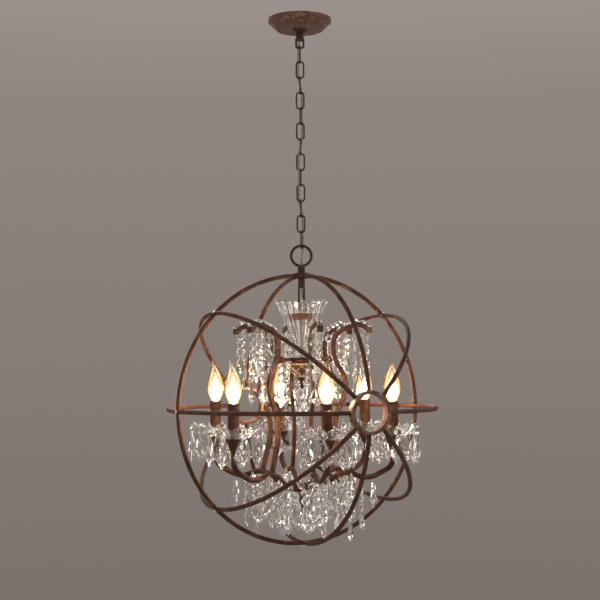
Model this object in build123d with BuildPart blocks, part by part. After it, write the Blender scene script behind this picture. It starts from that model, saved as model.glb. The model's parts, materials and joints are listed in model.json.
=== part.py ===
"""Orb chandelier: five crossing iron rings on a chain, with a six-light crystal candelabra hung inside.

Millimetres, +Z up. The origin is on the ceiling, at the centre of the canopy's rim, so everything hangs at
negative Z. The flat hub bands of the orb face -Y and +Y. Azimuths run from -Y towards +X, in degrees.
"""

import os
from itertools import cycle
from math import cos, radians, sin, sqrt, tan

from build123d import *

os.makedirs("parts", exist_ok=True)

# --- clearances -----------------------------------------------------------------------------------------
thread_gap = 0.05  # radial, between a thread and its tapped hole
slip_gap = 0.3  # between pieces that move or hang on each other
seat_gap = 0.1  # between a piece and the one it stands on, where their faces curve
hang_gap = 0.5  # between a bar and a crystal hooked under it

# --- ceiling fitting ------------------------------------------------------------------------------------
canopy_radius = 60.0
canopy_band = 7.0  # upright wall below the ceiling
canopy_band_inset = 2.0  # step from that wall to the cove
canopy_face_radius = 44.0
canopy_depth = 21.0
canopy_wall = 1.2
bracket_length = 100.0
bracket_width = 20.0
bracket_thickness = 2.5
bracket_slot_spacing = 70.0
bracket_slot_length = 24.0
bracket_slot_width = 5.0
pipe_radius = 5.0  # threaded pipe, used at the ceiling, in the orb's pole and in the candelabra
pipe_bore = 3.0
nut_flats = 17.0
nut_height = 4.0
nipple_length = 30.0
ring_nut_radius = 13.0
ring_nut_height = 3.0
canopy_drop = 12.0  # how far the ring nut lets the canopy down
loop_barrel_radius = 7.35
loop_barrel_rise = 8.0  # barrel inside the canopy, above its face
loop_barrel_drop = 17.0  # barrel below the canopy's face
loop_flange_radius = 9.2
loop_flange_height = 3.0
loop_wire = 4.0
loop_half_width = 7.0  # to the wire's centre
loop_length = 16.5  # flange to the outside of the loop's bottom
loop_corner = 5.0

# --- chain and cord -------------------------------------------------------------------------------------
chain_turn = -27.0  # direction of the even links' planes, about Z from +X
quarter_turn = 90.0
link_count = 13
link_wire = 3.0
link_width = 17.0
link_pitch = 29.4
cord_diameter = 3.2
cord_hole = 2.1  # radius of the holes it is threaded through

# --- top ring, pole and orb -----------------------------------------------------------------------------
ring_wire = 5.2
ring_outer = 43.5
knuckle_radius = 6.8
knuckle_height = 9.0
cap_nut_height = 6.0
boss_radius = 15.0
boss_height = 10.5
orb_radius = 250.0  # to the rods' centres
rod_diameter = 8.0
lap_gap = 0.1  # each side of a half-lapped crossing
hub_outer = 38.0
hub_wall = 6.5
hub_depth = 16.0
hub_edge = 1.6
screw_head_radius = 3.2
screw_head_height = 1.4
screw_radius = 1.6
hanger_sleeve_radius = 6.4
hanger_sleeve_length = 18.0
hanger_wire = 3.6
hanger_half_width = 4.95
hanger_bottom_height = 190.25  # the hanger's lowest point, over the orb's centre

# --- candelabra frame -----------------------------------------------------------------------------------
arm_count = 6
arm_turn = -13.0  # azimuth of the first arm
inner_loop_height = 24.0
ferrule_radius = 6.6
ferrule_height = 8.0
cup_radius = 28.0
cup_flare = 7.0
cup_height = 12.0
cup_wall = 1.2
spider_drop = 95.0  # hanger's bottom down to the top of the spider
spider_radius = 28.0
spider_plate = 3.8
spider_bar_width = 5.0
spider_bar_height = 7.0
junction_radius = 20.5
junction_height = 26.0
junction_foot = 6.5
finial_radius = 13.0
finial_height = 24.0
strap_thickness = 9.0  # along the radius
strap_width = 7.0
strap_edge = 1.6
arm_diameter = 10.0
arm_wall = 1.2
# The strap's corners as radius and height over the orb's centre, from hook tip to foot, and their roundings.
strap_corners = [(132, 144), (112, 159), (62, 141), (61, 96), (92, 46), (56, -30), (78, -112.6)]
strap_roundings = [24, 30, 66, 60, 110]
# The arm's corners, from the bottom hub to the candle cup.
arm_start_height = -147.0
arm_corners = [(38, -147), (78, -111), (122, -131), (172, -104), (172, -69)]
arm_roundings = [48, 36, 45, 22]
hub_apothem = 15.0
hub_height = 15.0
hub_finial_radius = 8.0
finial_drop_clearance = 20.0  # the lowest drop to the orb's bottom rods

# --- candles, as heights over the orb's centre ----------------------------------------------------------
candle_cup_bottom = -75.0
candle_cup_top = -49.0
candle_cup_radius = 14.5
candle_cup_neck = 6.4
dish_foot_radius = 12.0
dish_radius = 44.0
dish_height = 18.0
dish_shoulder_radius, dish_shoulder_height = 0.72, 0.27  # a point of its wall, as shares of the rim's
dish_wall = 2.6
dish_scallops = 12
scallop_radius = 3.6
sleeve_radius = 10.75
sleeve_wall = 1.0
sleeve_top = 13.9
socket_radius = 9.0
socket_bore = 7.2
socket_bore_depth = 26.0
bulb_base_radius = 6.9
bulb_base_depth = 24.0
bulb_neck_radius = 9.2
bulb_radius = 16.5
bulb_height = 80.0
bulb_travel = 28.0

# --- glass ----------------------------------------------------------------------------------------------
vase_height = 105.0
vase_rim_radius = 46.5
vase_waist_radius = 17.5
vase_foot_radius = 15.0
vase_wall = 3.0
vase_scallops = 16
bowl_radius = 24.0
bowl_height = 30.0
bowl_wall = 2.0
bead_width = 13.5
bead_thickness = 6.0
bead_pitch = 14.2
facet_count = 8
kite_width, kite_height, kite_depth = 23.0, 44.0, 9.0
almond_width, almond_height, almond_depth = 15.0, 36.0, 8.0
big_kite_width, big_kite_height, big_kite_depth = 30.0, 54.0, 11.0
drops_per_dish = 8
foot_beads = 10  # standing round the vase's foot
basket_gap = 14.0  # drop tips to the sphere of the rods' centres
low_kite_overhang = 1.0  # of the large drops nearest the middle, past that sphere
open_overhang = 16.0  # past that sphere, between the rings, where nothing is in the way

# --- derived heights ------------------------------------------------------------------------------------
loop_flange_top = -canopy_depth - loop_barrel_drop
loop_bottom_wire = loop_flange_top - loop_flange_height - loop_length + loop_wire / 2
link_height = link_pitch + slip_gap + link_wire  # between the centres of a link's two end wires
first_link_top = loop_bottom_wire + (loop_wire + link_wire) / 2 + slip_gap
last_link_bottom = first_link_top - (link_count - 1) * link_pitch - link_height
ring_top_wire = last_link_bottom + (ring_wire + link_wire) / 2 + slip_gap
ring_centre = ring_top_wire - (ring_outer - ring_wire) / 2
ring_bottom = ring_centre - ring_outer / 2
knuckle_top = ring_bottom + knuckle_height / 2
knuckle_bottom = knuckle_top - knuckle_height
boss_top = knuckle_bottom - cap_nut_height
boss_bottom = boss_top - boss_height
orb_z = boss_top - boss_height / 2 - orb_radius
hanger_bottom_wire = orb_z + hanger_bottom_height + hanger_wire / 2
inner_loop_top_wire = hanger_bottom_wire + hanger_wire + slip_gap
inner_loop_bottom_wire = inner_loop_top_wire - inner_loop_height + hanger_wire
ferrule_bottom = inner_loop_bottom_wire - ferrule_height
spider_top = hanger_bottom_wire - hanger_wire / 2 - spider_drop
spider_bottom = spider_top - spider_plate
junction_bottom = spider_bottom - junction_height
finial_top = junction_bottom - 6.0
arm_radius = arm_corners[-1][0]
dish_bottom = orb_z + candle_cup_top + seat_gap
dish_rim = dish_bottom + dish_height
rod_radius = rod_diameter / 2
basket_reach = orb_radius - basket_gap  # how far drop tips may be from the orb's centre
low_kite_reach = orb_radius + low_kite_overhang
open_reach = orb_radius + open_overhang
hub_middle = orb_z + arm_start_height
hub_bottom = hub_middle - hub_height / 2
orb_inside_bottom = orb_z - orb_radius + rod_radius
hub_finial_length = hub_bottom - slip_gap - almond_height - finial_drop_clearance - orb_inside_bottom
link_radius = (link_width - link_wire) / 2
arm_azimuths = [arm_turn + 360 / arm_count * i for i in range(arm_count)]


def polar(radius, azimuth, z=0.0):
    """A point at a radius and an azimuth about the vertical axis."""
    return (radius * sin(radians(azimuth)), -radius * cos(radians(azimuth)), z)


def upright(turn, z=0.0):
    """An upright plane through the axis: its x points along turn, about Z from +X, and its y is up."""
    side = (cos(radians(turn)), sin(radians(turn)), 0)
    normal = (sin(radians(turn)), -cos(radians(turn)), 0)
    return Plane(origin=(0, 0, z), x_dir=side, z_dir=normal)


def first_at(path, axis, value):
    """The first point of a path whose X or Z has a value."""
    steps = 400
    points = [path @ (i / steps) for i in range(steps + 1)]
    for before, after in zip(points, points[1:]):
        start, end = getattr(before, axis), getattr(after, axis)
        if (start - value) * (end - value) <= 0:
            return before + (after - before) * ((value - start) / (end - start))
    raise ValueError(f"the path has no point where {axis} is {value}")


def hang_height(path, radius, path_thickness, hung_thickness):
    """The height at which a piece hung under a bar clears it, where the bar slopes too."""
    inner = first_at(path, "X", radius - hung_thickness / 2).Z
    outer = first_at(path, "X", radius + hung_thickness / 2).Z
    slope = (outer - inner) / hung_thickness
    return min(inner, outer) - path_thickness / 2 * sqrt(1 + slope**2) - hang_gap


def around(count, first_azimuth):
    """Turns about the axis that carry a piece made along +X to each azimuth."""
    return PolarLocations(0, count, start_angle=first_azimuth - 90)


def save(builder, name):
    builder.part.label = name
    export_step(builder.part, f"parts/{name}.step")


# --- ceiling bracket, nipple and nuts -------------------------------------------------------------------
with BuildPart() as ceiling_bracket:
    with BuildSketch():
        RectangleRounded(bracket_length, bracket_width, bracket_width / 4)
        Circle(pipe_radius + thread_gap, mode=Mode.SUBTRACT)
        with GridLocations(bracket_slot_spacing, 0, 2, 1):
            SlotOverall(bracket_slot_length, bracket_slot_width, mode=Mode.SUBTRACT)
    extrude(amount=-bracket_thickness)
save(ceiling_bracket, "ceiling_bracket")

with BuildPart() as ceiling_nipple:
    with BuildSketch():
        Circle(pipe_radius)
        Circle(pipe_bore, mode=Mode.SUBTRACT)
    extrude(amount=-nipple_length)
save(ceiling_nipple, "ceiling_nipple")

barrel_top = -canopy_depth + loop_barrel_rise
with BuildPart() as lock_nuts:
    for nut_top in (-bracket_thickness, barrel_top + nut_height):
        with BuildSketch(Plane.XY.offset(nut_top)):
            RegularPolygon(nut_flats / 2, 6, major_radius=False)
            Circle(pipe_radius + thread_gap, mode=Mode.SUBTRACT)
        extrude(amount=-nut_height)
save(lock_nuts, "lock_nuts")

# --- canopy and the ring nut that holds it up -----------------------------------------------------------
barrel_hole = loop_barrel_radius + slip_gap
with BuildPart() as canopy:
    with BuildSketch(Plane.XZ):
        with BuildLine():
            outside = Polyline(
                (barrel_hole, -canopy_depth),
                (canopy_face_radius, -canopy_depth),
                (canopy_face_radius + 3, -canopy_depth + 2.5),
            )
            cove = ThreePointArc(
                outside @ 1,
                (canopy_radius - 6.5, -canopy_band - 5.0),
                (canopy_radius - canopy_band_inset, -canopy_band),
            )
            Polyline(
                cove @ 1,
                (canopy_radius, -canopy_band + 1),
                (canopy_radius, 0),
                (canopy_radius - canopy_wall, 0),
                (canopy_radius - canopy_wall, -canopy_band + 1),
                (canopy_radius - canopy_band_inset - canopy_wall, -canopy_band + canopy_wall),
                (canopy_face_radius + 2, -canopy_depth + 2.5 + canopy_wall),
                (canopy_face_radius, -canopy_depth + canopy_wall),
                (barrel_hole, -canopy_depth + canopy_wall),
                (barrel_hole, -canopy_depth),
            )
        make_face()
    revolve(axis=Axis.Z)
save(canopy, "canopy")

with BuildPart() as ring_nut:
    with BuildSketch(Plane.XY.offset(-canopy_depth - seat_gap)):
        Circle(ring_nut_radius)
        Circle(barrel_hole, mode=Mode.SUBTRACT)
    extrude(amount=-ring_nut_height)
    chamfer(ring_nut.edges().filter_by(GeomType.CIRCLE).group_by(Axis.Z)[0].sort_by(SortBy.RADIUS)[-1], 1.0)
save(ring_nut, "ring_nut")

# --- ceiling loop: a tapped barrel with a wire stirrup below --------------------------------------------
with BuildPart() as ceiling_loop:
    with BuildSketch(Plane.XY.offset(barrel_top)):
        Circle(loop_barrel_radius)
    extrude(until=None, amount=loop_flange_top - barrel_top)
    with BuildSketch(Plane.XY.offset(loop_flange_top)):
        Circle(loop_flange_radius)
    extrude(amount=-loop_flange_height)
    with BuildLine(upright(chain_turn)) as stirrup_path:
        FilletPolyline(
            (-loop_half_width, loop_flange_top - loop_flange_height / 2),
            (-loop_half_width, loop_bottom_wire),
            (loop_half_width, loop_bottom_wire),
            (loop_half_width, loop_flange_top - loop_flange_height / 2),
            radius=loop_corner,
        )
    with BuildSketch(Plane(stirrup_path.line @ 0, z_dir=stirrup_path.line % 0)):
        Circle(loop_wire / 2)
    sweep(path=stirrup_path.line)
    with BuildSketch(Plane.XY.offset(barrel_top)):
        Circle(pipe_radius + thread_gap)
    extrude(amount=-(nipple_length + barrel_top + slip_gap), mode=Mode.SUBTRACT)
    with BuildSketch(Plane.XY.offset(barrel_top)):
        Circle(cord_hole)
    extrude(amount=loop_flange_top - loop_flange_height - barrel_top, mode=Mode.SUBTRACT)
save(ceiling_loop, "ceiling_loop")

# --- chain ----------------------------------------------------------------------------------------------
link_straight = link_height / 2 - link_radius
with BuildPart() as link_shape:
    with BuildSketch(Plane.XY.offset(-link_straight)):
        with Locations((link_radius, 0), (-link_radius, 0)):
            Circle(link_wire / 2)
    extrude(amount=2 * link_straight)
    with BuildSketch(Plane.XY.offset(link_straight)):
        with Locations((link_radius, 0)):
            Circle(link_wire / 2)
    revolve(axis=Axis((0, 0, link_straight), (0, -1, 0)), revolution_arc=180)
    mirror(about=Plane.XY)

link_turns = [chain_turn + quarter_turn * (i % 2 == 0) for i in range(link_count)]
link_centres = [first_link_top - link_height / 2 - link_pitch * i for i in range(link_count)]
for number, (turn, centre) in enumerate(zip(link_turns, link_centres), 1):
    with BuildPart() as chain_link:
        with Locations(Location((0, 0, centre), (0, 0, turn))):
            add(link_shape.part)
    save(chain_link, f"chain_link_{number:02d}")

# --- power cord, laced through the chain ----------------------------------------------------------------
aside = (link_wire + cord_diameter) / 2 + slip_gap
loop_aside = (loop_wire + cord_diameter) / 2 + slip_gap
ring_aside = (ring_wire + cord_diameter) / 2 + slip_gap
cord_top = barrel_top + nut_height
# Each point is sideways in the even links' plane, then away across it, then the height.
half_link = link_pitch / 4
cord_route = [
    (0, 0, cord_top),
    (0, 0, loop_flange_top - loop_flange_height - 1.5),
    (-aside, loop_aside, loop_bottom_wire + 5),
    (-aside, loop_aside, link_centres[0] - half_link),
    (-aside, aside, link_centres[1] + half_link),
    (-aside, aside, link_centres[2] + half_link),
    (aside, aside, link_centres[2] - half_link),
    (aside, aside, link_centres[4]),
    (aside, aside, link_centres[5] + half_link),
    (aside, -aside, link_centres[5] - half_link),
    (aside, -aside, link_centres[6] + half_link),
    (-aside, -aside, link_centres[6] - half_link),
    (-aside, -aside, link_centres[8]),
    (-aside, -aside, link_centres[9] + half_link),
    (-aside, aside, link_centres[9] - half_link),
    (-aside, aside, link_centres[10] + half_link),
    (aside, aside, link_centres[10] - half_link),
    (aside, ring_aside, link_centres[12] + half_link),
    (aside, ring_aside, ring_top_wire - ring_wire),
    (0, 0, ring_centre - 6),
    (0, 0, boss_bottom - hanger_sleeve_length - 6),
    (hanger_half_width - 1.1, hanger_half_width - 1.1, inner_loop_top_wire + 9),
    (hanger_half_width - 1.1, hanger_half_width - 1.1, hanger_bottom_wire - 2),
    (0, 0, inner_loop_bottom_wire + 5),
    (0, 0, ferrule_bottom - 12),
]
side = Vector(cos(radians(chain_turn)), sin(radians(chain_turn)), 0)
away = Vector(-sin(radians(chain_turn)), cos(radians(chain_turn)), 0)
cord_points = [side * s + away * a + Vector(0, 0, z) for s, a, z in cord_route]


def easy_radii(points, share=0.45):
    """For each corner, the arc that takes this share of its shorter run."""
    radii = []
    for before, corner, after in zip(points, points[1:], points[2:]):
        turn = (corner - before).get_angle(after - corner)
        shorter = min((corner - before).length, (after - corner).length)
        radii.append(share * shorter / tan(radians(turn / 2)))
    return radii


def without_straight_points(points):
    """Drops points that lie on the line between their neighbours."""
    kept = [points[0]]
    for point, after in zip(points[1:], points[2:]):
        if (point - kept[-1]).get_angle(after - point) > 0.5:
            kept.append(point)
    return kept + [points[-1]]


cord_points = without_straight_points(cord_points)
cord_radii = easy_radii(cord_points)
print("cord arc radii, mm:", [round(r, 1) for r in cord_radii])
with BuildPart() as power_cord:
    with BuildLine() as cord_path:
        FilletPolyline(*cord_points, radius=cord_radii)
    with BuildSketch(Plane(cord_points[0], z_dir=cord_points[1] - cord_points[0])):
        Circle(cord_diameter / 2)
    sweep(path=cord_path.line)
save(power_cord, "power_cord")
print("cord length, mm:", round(sum(edge.length for edge in cord_path.edges()), 1))

# --- top ring with its knuckle, stem and cap nut --------------------------------------------------------
with BuildPart(upright(chain_turn, ring_centre)) as top_ring:
    Torus((ring_outer - ring_wire) / 2, ring_wire / 2)
    with BuildSketch(Plane.XY.offset(knuckle_bottom)):
        Circle(knuckle_radius)
    extrude(amount=knuckle_height)
    fillet(top_ring.edges().filter_by(GeomType.CIRCLE).group_by(Axis.Z)[0], 1.0)
    with BuildSketch(Plane.XY.offset(knuckle_bottom)):
        Circle(pipe_radius + thread_gap)
    extrude(amount=knuckle_height / 2, mode=Mode.SUBTRACT)
    with BuildSketch(Plane.XY.offset(knuckle_bottom)):
        Circle(cord_hole)
    extrude(amount=2 * knuckle_height, mode=Mode.SUBTRACT)
save(top_ring, "top_ring")

stem_top = knuckle_bottom + knuckle_height / 2 - slip_gap
stem_bottom = boss_bottom - hanger_sleeve_length / 2
with BuildPart() as orb_stem:
    with BuildSketch(Plane.XY.offset(stem_top)):
        Circle(pipe_radius)
        Circle(pipe_bore, mode=Mode.SUBTRACT)
    extrude(amount=stem_bottom - stem_top)
save(orb_stem, "orb_stem")

with BuildPart() as cap_nut:
    with BuildSketch(Plane.XY.offset(boss_top)):
        Circle(knuckle_radius)
        Circle(pipe_radius + thread_gap, mode=Mode.SUBTRACT)
    extrude(amount=cap_nut_height)
    fillet(cap_nut.edges().filter_by(GeomType.CIRCLE).group_by(SortBy.RADIUS)[-1], 1.2)
save(cap_nut, "cap_nut")

with BuildPart() as pole_boss:
    with BuildSketch(Plane.XY.offset(boss_bottom)):
        Circle(boss_radius)
        Circle(pipe_radius + thread_gap, mode=Mode.SUBTRACT)
    extrude(amount=boss_height)
    fillet(pole_boss.edges().filter_by(GeomType.CIRCLE).group_by(SortBy.RADIUS)[-1], 2.4)
save(pole_boss, "pole_boss")

# --- the orb's five rings -------------------------------------------------------------------------------
# Directions of the crossings with the cross ring, which is square to the hub bands' axis.
tilt = sqrt(0.5)
east, west, top, bottom = Vector(1, 0, 0), Vector(-1, 0, 0), Vector(0, 0, 1), Vector(0, 0, -1)
crossings = {
    "ring_equator": [east, west],
    "ring_meridian_hub": [bottom],
    "ring_tilt_left": [Vector(-tilt, 0, tilt), Vector(tilt, 0, -tilt)],
    "ring_tilt_right": [Vector(tilt, 0, tilt), Vector(-tilt, 0, -tilt)],
}
lap_side = rod_diameter + 2 * lap_gap
orb_centre = Vector(0, 0, orb_z)


def lap_cutter(direction, outer_half):
    """Removes the outer or the inner half of a rod where it crosses another."""
    reach = rod_radius + 1
    middle = orb_radius + (reach if outer_half else -reach) / 2
    with Locations(Plane(origin=orb_centre + direction * middle, x_dir=(0, 1, 0), z_dir=direction)):
        Box(lap_side, lap_side, reach, mode=Mode.SUBTRACT)


for ring_name, directions in crossings.items():
    across = directions[0]
    with BuildPart() as hub_ring:
        ring_plane = Plane(origin=orb_centre, x_dir=(0, -1, 0), z_dir=Vector(0, -1, 0).cross(across))
        with Locations(ring_plane):
            Torus(orb_radius, rod_radius)
        for end in (-1, 1):
            with Locations(Plane(origin=orb_centre + Vector(0, end * orb_radius, 0), z_dir=(0, 1, 0))):
                Cylinder(hub_outer + seat_gap, 8 * rod_diameter, mode=Mode.SUBTRACT)
        for direction in directions:
            lap_cutter(direction, outer_half=True)
        if ring_name == "ring_meridian_hub":
            with Locations((0, 0, boss_bottom + boss_height / 2)):
                Cylinder(boss_radius + seat_gap, 4 * rod_diameter, mode=Mode.SUBTRACT)
    save(hub_ring, ring_name)

with BuildPart() as cross_ring:
    with Locations(Plane(origin=orb_centre, z_dir=(0, 1, 0))):
        Torus(orb_radius, rod_radius)
    for directions in crossings.values():
        for direction in directions:
            lap_cutter(direction, outer_half=False)
    with Locations((0, 0, boss_bottom + boss_height / 2)):
        Cylinder(boss_radius + seat_gap, 4 * rod_diameter, mode=Mode.SUBTRACT)
save(cross_ring, "ring_meridian_cross")

for end, hub_name in ((-1, "hub_band_front"), (1, "hub_band_back")):
    with BuildPart() as hub_band:
        band_plane = Plane(origin=orb_centre + Vector(0, end * orb_radius - hub_depth / 2, 0), z_dir=(0, 1, 0))
        with BuildSketch(band_plane):
            Circle(hub_outer)
            Circle(hub_outer - hub_wall, mode=Mode.SUBTRACT)
        extrude(amount=hub_depth)
        fillet(hub_band.edges().filter_by(GeomType.CIRCLE), hub_edge)
    save(hub_band, hub_name)

with BuildPart() as ring_screws:
    for directions in crossings.values():
        for direction in directions:
            head_seat = Plane(origin=orb_centre + direction * (orb_radius + rod_radius), z_dir=direction)
            with BuildSketch(head_seat):
                Circle(screw_head_radius)
            extrude(amount=screw_head_height)
    fillet(ring_screws.edges().filter_by(GeomType.CIRCLE).group_by(SortBy.RADIUS)[-1], screw_head_height / 3)
save(ring_screws, "ring_screws")

# --- hanger below the pole, and the candelabra's loop ---------------------------------------------------
with BuildPart() as hanger_loop:
    with BuildSketch(Plane.XY.offset(boss_bottom)):
        Circle(hanger_sleeve_radius)
    extrude(amount=-hanger_sleeve_length)
    fillet(hanger_loop.edges().filter_by(GeomType.CIRCLE).group_by(Axis.Z)[0], 1.2)
    leg_top = boss_bottom - hanger_sleeve_length + 3
    with BuildLine(upright(chain_turn)) as hanger_path:
        FilletPolyline(
            (-hanger_half_width, leg_top),
            (-hanger_half_width, hanger_bottom_wire),
            (hanger_half_width, hanger_bottom_wire),
            (hanger_half_width, leg_top),
            radius=hanger_half_width - 0.2,
        )
    with BuildSketch(Plane(hanger_path.line @ 0, z_dir=hanger_path.line % 0)):
        Circle(hanger_wire / 2)
    sweep(path=hanger_path.line)
    with BuildSketch(Plane.XY.offset(boss_bottom)):
        Circle(pipe_radius + thread_gap)
    extrude(amount=stem_bottom - boss_bottom - slip_gap, mode=Mode.SUBTRACT)
    with BuildSketch(Plane.XY.offset(boss_bottom)):
        Circle(cord_hole)
    extrude(amount=-hanger_sleeve_length, mode=Mode.SUBTRACT)
save(hanger_loop, "hanger_loop")

with BuildPart() as inner_loop:
    ferrule_top = inner_loop_bottom_wire + hanger_wire / 2
    with BuildSketch(Plane.XY.offset(ferrule_bottom)):
        Circle(ferrule_radius)
    extrude(amount=ferrule_top - ferrule_bottom)
    with BuildLine(upright(chain_turn + quarter_turn)) as inner_path:
        FilletPolyline(
            (-hanger_half_width, inner_loop_bottom_wire),
            (-hanger_half_width, inner_loop_top_wire),
            (hanger_half_width, inner_loop_top_wire),
            (hanger_half_width, inner_loop_bottom_wire),
            radius=hanger_half_width - 0.2,
        )
    with BuildSketch(Plane(inner_path.line @ 0, z_dir=inner_path.line % 0)):
        Circle(hanger_wire / 2)
    sweep(path=inner_path.line)
    with BuildSketch(Plane.XY.offset(ferrule_bottom)):
        Circle(pipe_radius + thread_gap)
    extrude(amount=ferrule_height - 2, mode=Mode.SUBTRACT)
    with BuildSketch(Plane.XY.offset(ferrule_bottom)):
        Circle(cord_hole)
    extrude(amount=2 * ferrule_height, mode=Mode.SUBTRACT)
save(inner_loop, "inner_loop")

# --- column: pipe, cup in the vase, spider, junction cup and lower nut ----------------------------------
column_top = ferrule_bottom + ferrule_height - 2 - slip_gap
with BuildPart() as column_pipe:
    with BuildSketch(Plane.XY.offset(column_top)):
        Circle(pipe_radius)
        Circle(pipe_bore, mode=Mode.SUBTRACT)
    extrude(amount=finial_top - finial_height / 3 - column_top)
save(column_pipe, "column_pipe")

cup_bottom = ferrule_bottom - cup_wall
with BuildPart() as vase_cup:
    with BuildSketch(Plane.XZ):
        with BuildLine():
            Polyline(
                (pipe_radius + thread_gap, cup_bottom),
                (cup_radius - cup_flare, cup_bottom),
                (cup_radius, cup_bottom + cup_height),
                (cup_radius - cup_wall, cup_bottom + cup_height),
                (cup_radius - cup_flare - cup_wall, ferrule_bottom),
                (pipe_radius + thread_gap, ferrule_bottom),
                (pipe_radius + thread_gap, cup_bottom),
            )
        make_face()
    revolve(axis=Axis.Z)
save(vase_cup, "vase_cup")

# One strap, which the spider's bars reach to; all six are set out further down.
with BuildPart() as strap_shape:
    with BuildLine(Plane.XZ) as strap_path:
        FilletPolyline(*[(r, orb_z + z) for r, z in strap_corners], radius=strap_roundings)
    with BuildSketch(Plane(strap_path.line @ 0, x_dir=(0, 1, 0), z_dir=strap_path.line % 0)):
        RectangleRounded(strap_width, strap_thickness, strap_edge)
    sweep(path=strap_path.line)


def strap_inner_radius(low, high):
    """How far a piece between two heights may reach out to the upright run of the straps."""
    ends = [first_at(strap_path.line, "Z", z) for z in (low, (low + high) / 2, high)]
    slope = (ends[2].X - ends[0].X) / (high - low)
    return min(end.X for end in ends) - strap_thickness / 2 * sqrt(1 + slope**2) - slip_gap


spider_reach = strap_inner_radius(spider_top - spider_bar_height, spider_top)
with BuildPart() as neck_spider:
    with BuildSketch(Plane.XY.offset(spider_bottom)):
        Circle(spider_radius)
    extrude(amount=spider_plate)
    with BuildSketch(Plane.XY.offset(spider_top - spider_bar_height)):
        with around(arm_count, arm_turn):
            with Locations((junction_radius + 1, 0)):
                Rectangle(spider_reach - junction_radius - 1, spider_bar_width, align=(Align.MIN, Align.CENTER))
    extrude(amount=spider_bar_height)
    with BuildSketch(Plane.XY.offset(spider_bottom)):
        Circle(pipe_radius + thread_gap)
    extrude(amount=spider_plate, mode=Mode.SUBTRACT)
save(neck_spider, "neck_spider")

with BuildPart() as junction_cup:
    with BuildSketch(Plane.XZ):
        with BuildLine():
            flank = ThreePointArc(
                (junction_radius, spider_bottom - 3),
                (0.8 * junction_radius, spider_bottom - 0.45 * junction_height),
                (junction_foot, junction_bottom),
            )
            Polyline(
                flank @ 1,
                (pipe_radius + thread_gap, junction_bottom),
                (pipe_radius + thread_gap, spider_bottom),
                (junction_radius, spider_bottom),
                flank @ 0,
            )
        make_face()
    revolve(axis=Axis.Z)
save(junction_cup, "junction_cup")

with BuildPart() as column_nut:
    with BuildSketch(Plane.XZ):
        with BuildLine():
            Polyline(
                (0, finial_top - finial_height),
                (2.6, finial_top - finial_height + 2),
                (3.4, finial_top - finial_height * 0.6),
                (6.4, finial_top - finial_height * 0.45),
                (7.2, finial_top - 3.5),
                (finial_radius, finial_top - 2),
                (finial_radius, finial_top),
                (0, finial_top),
                (0, finial_top - finial_height),
            )
        make_face()
    revolve(axis=Axis.Z)
    with BuildSketch(Plane.XY.offset(finial_top)):
        Circle(pipe_radius + thread_gap)
    extrude(amount=-finial_height / 3 - slip_gap, mode=Mode.SUBTRACT)
save(column_nut, "column_nut")

# --- scroll straps, arms and bottom hub -----------------------------------------------------------------
with BuildPart() as scroll_straps:
    with around(arm_count, arm_turn):
        add(strap_shape.part)
save(scroll_straps, "scroll_straps")

with BuildPart() as arm_shape:
    with BuildLine(Plane.XZ) as arm_path:
        arm_points = [(hub_apothem, arm_start_height)] + arm_corners
        FilletPolyline(*[(r, orb_z + z) for r, z in arm_points], radius=arm_roundings)
    with BuildSketch(Plane(arm_path.line @ 0, z_dir=arm_path.line % 0)):
        Circle(arm_diameter / 2)
        Circle(arm_diameter / 2 - arm_wall, mode=Mode.SUBTRACT)
    sweep(path=arm_path.line)

with BuildPart() as arms:
    with around(arm_count, arm_turn):
        add(arm_shape.part)
save(arms, "arms")

with BuildPart() as bottom_hub:
    with BuildSketch(Plane.XY.offset(hub_bottom)):
        RegularPolygon(hub_apothem, arm_count, major_radius=False, rotation=arm_turn - 90 + 180 / arm_count)
    extrude(amount=hub_height)
    with BuildSketch(Plane.XZ):
        with BuildLine():
            Polyline(
                (0, hub_bottom),
                (hub_finial_radius + 3, hub_bottom),
                (hub_finial_radius - 3, hub_bottom - 0.25 * hub_finial_length),
                (hub_finial_radius, hub_bottom - 0.4 * hub_finial_length),
                (hub_finial_radius - 1, hub_bottom - 0.55 * hub_finial_length),
                (2.2, hub_bottom - 0.85 * hub_finial_length),
                (2.2, hub_bottom - hub_finial_length),
                (0, hub_bottom - hub_finial_length),
                (0, hub_bottom),
            )
        make_face()
    revolve(axis=Axis.Z)
save(bottom_hub, "bottom_hub")

# --- candles --------------------------------------------------------------------------------------------
candles = [Location(polar(arm_radius, azimuth)) for azimuth in arm_azimuths]
arm_top = orb_z + arm_corners[-1][1]
with BuildPart() as cup_shape:
    with BuildSketch(Plane.XZ):
        with BuildLine():
            Polyline(
                (arm_diameter / 2 + thread_gap, orb_z + candle_cup_bottom),
                (candle_cup_neck, orb_z + candle_cup_bottom),
                (candle_cup_neck + 0.6, arm_top),
                (candle_cup_radius, orb_z + candle_cup_top - 1.5),
                (candle_cup_radius, orb_z + candle_cup_top),
                (0, orb_z + candle_cup_top),
                (0, arm_top + slip_gap),
                (arm_diameter / 2 + thread_gap, arm_top + slip_gap),
                (arm_diameter / 2 + thread_gap, orb_z + candle_cup_bottom),
            )
        make_face()
    revolve(axis=Axis.Z)

with BuildPart() as candle_cups:
    with Locations(*candles):
        add(cup_shape.part)
save(candle_cups, "candle_cups")

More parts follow.
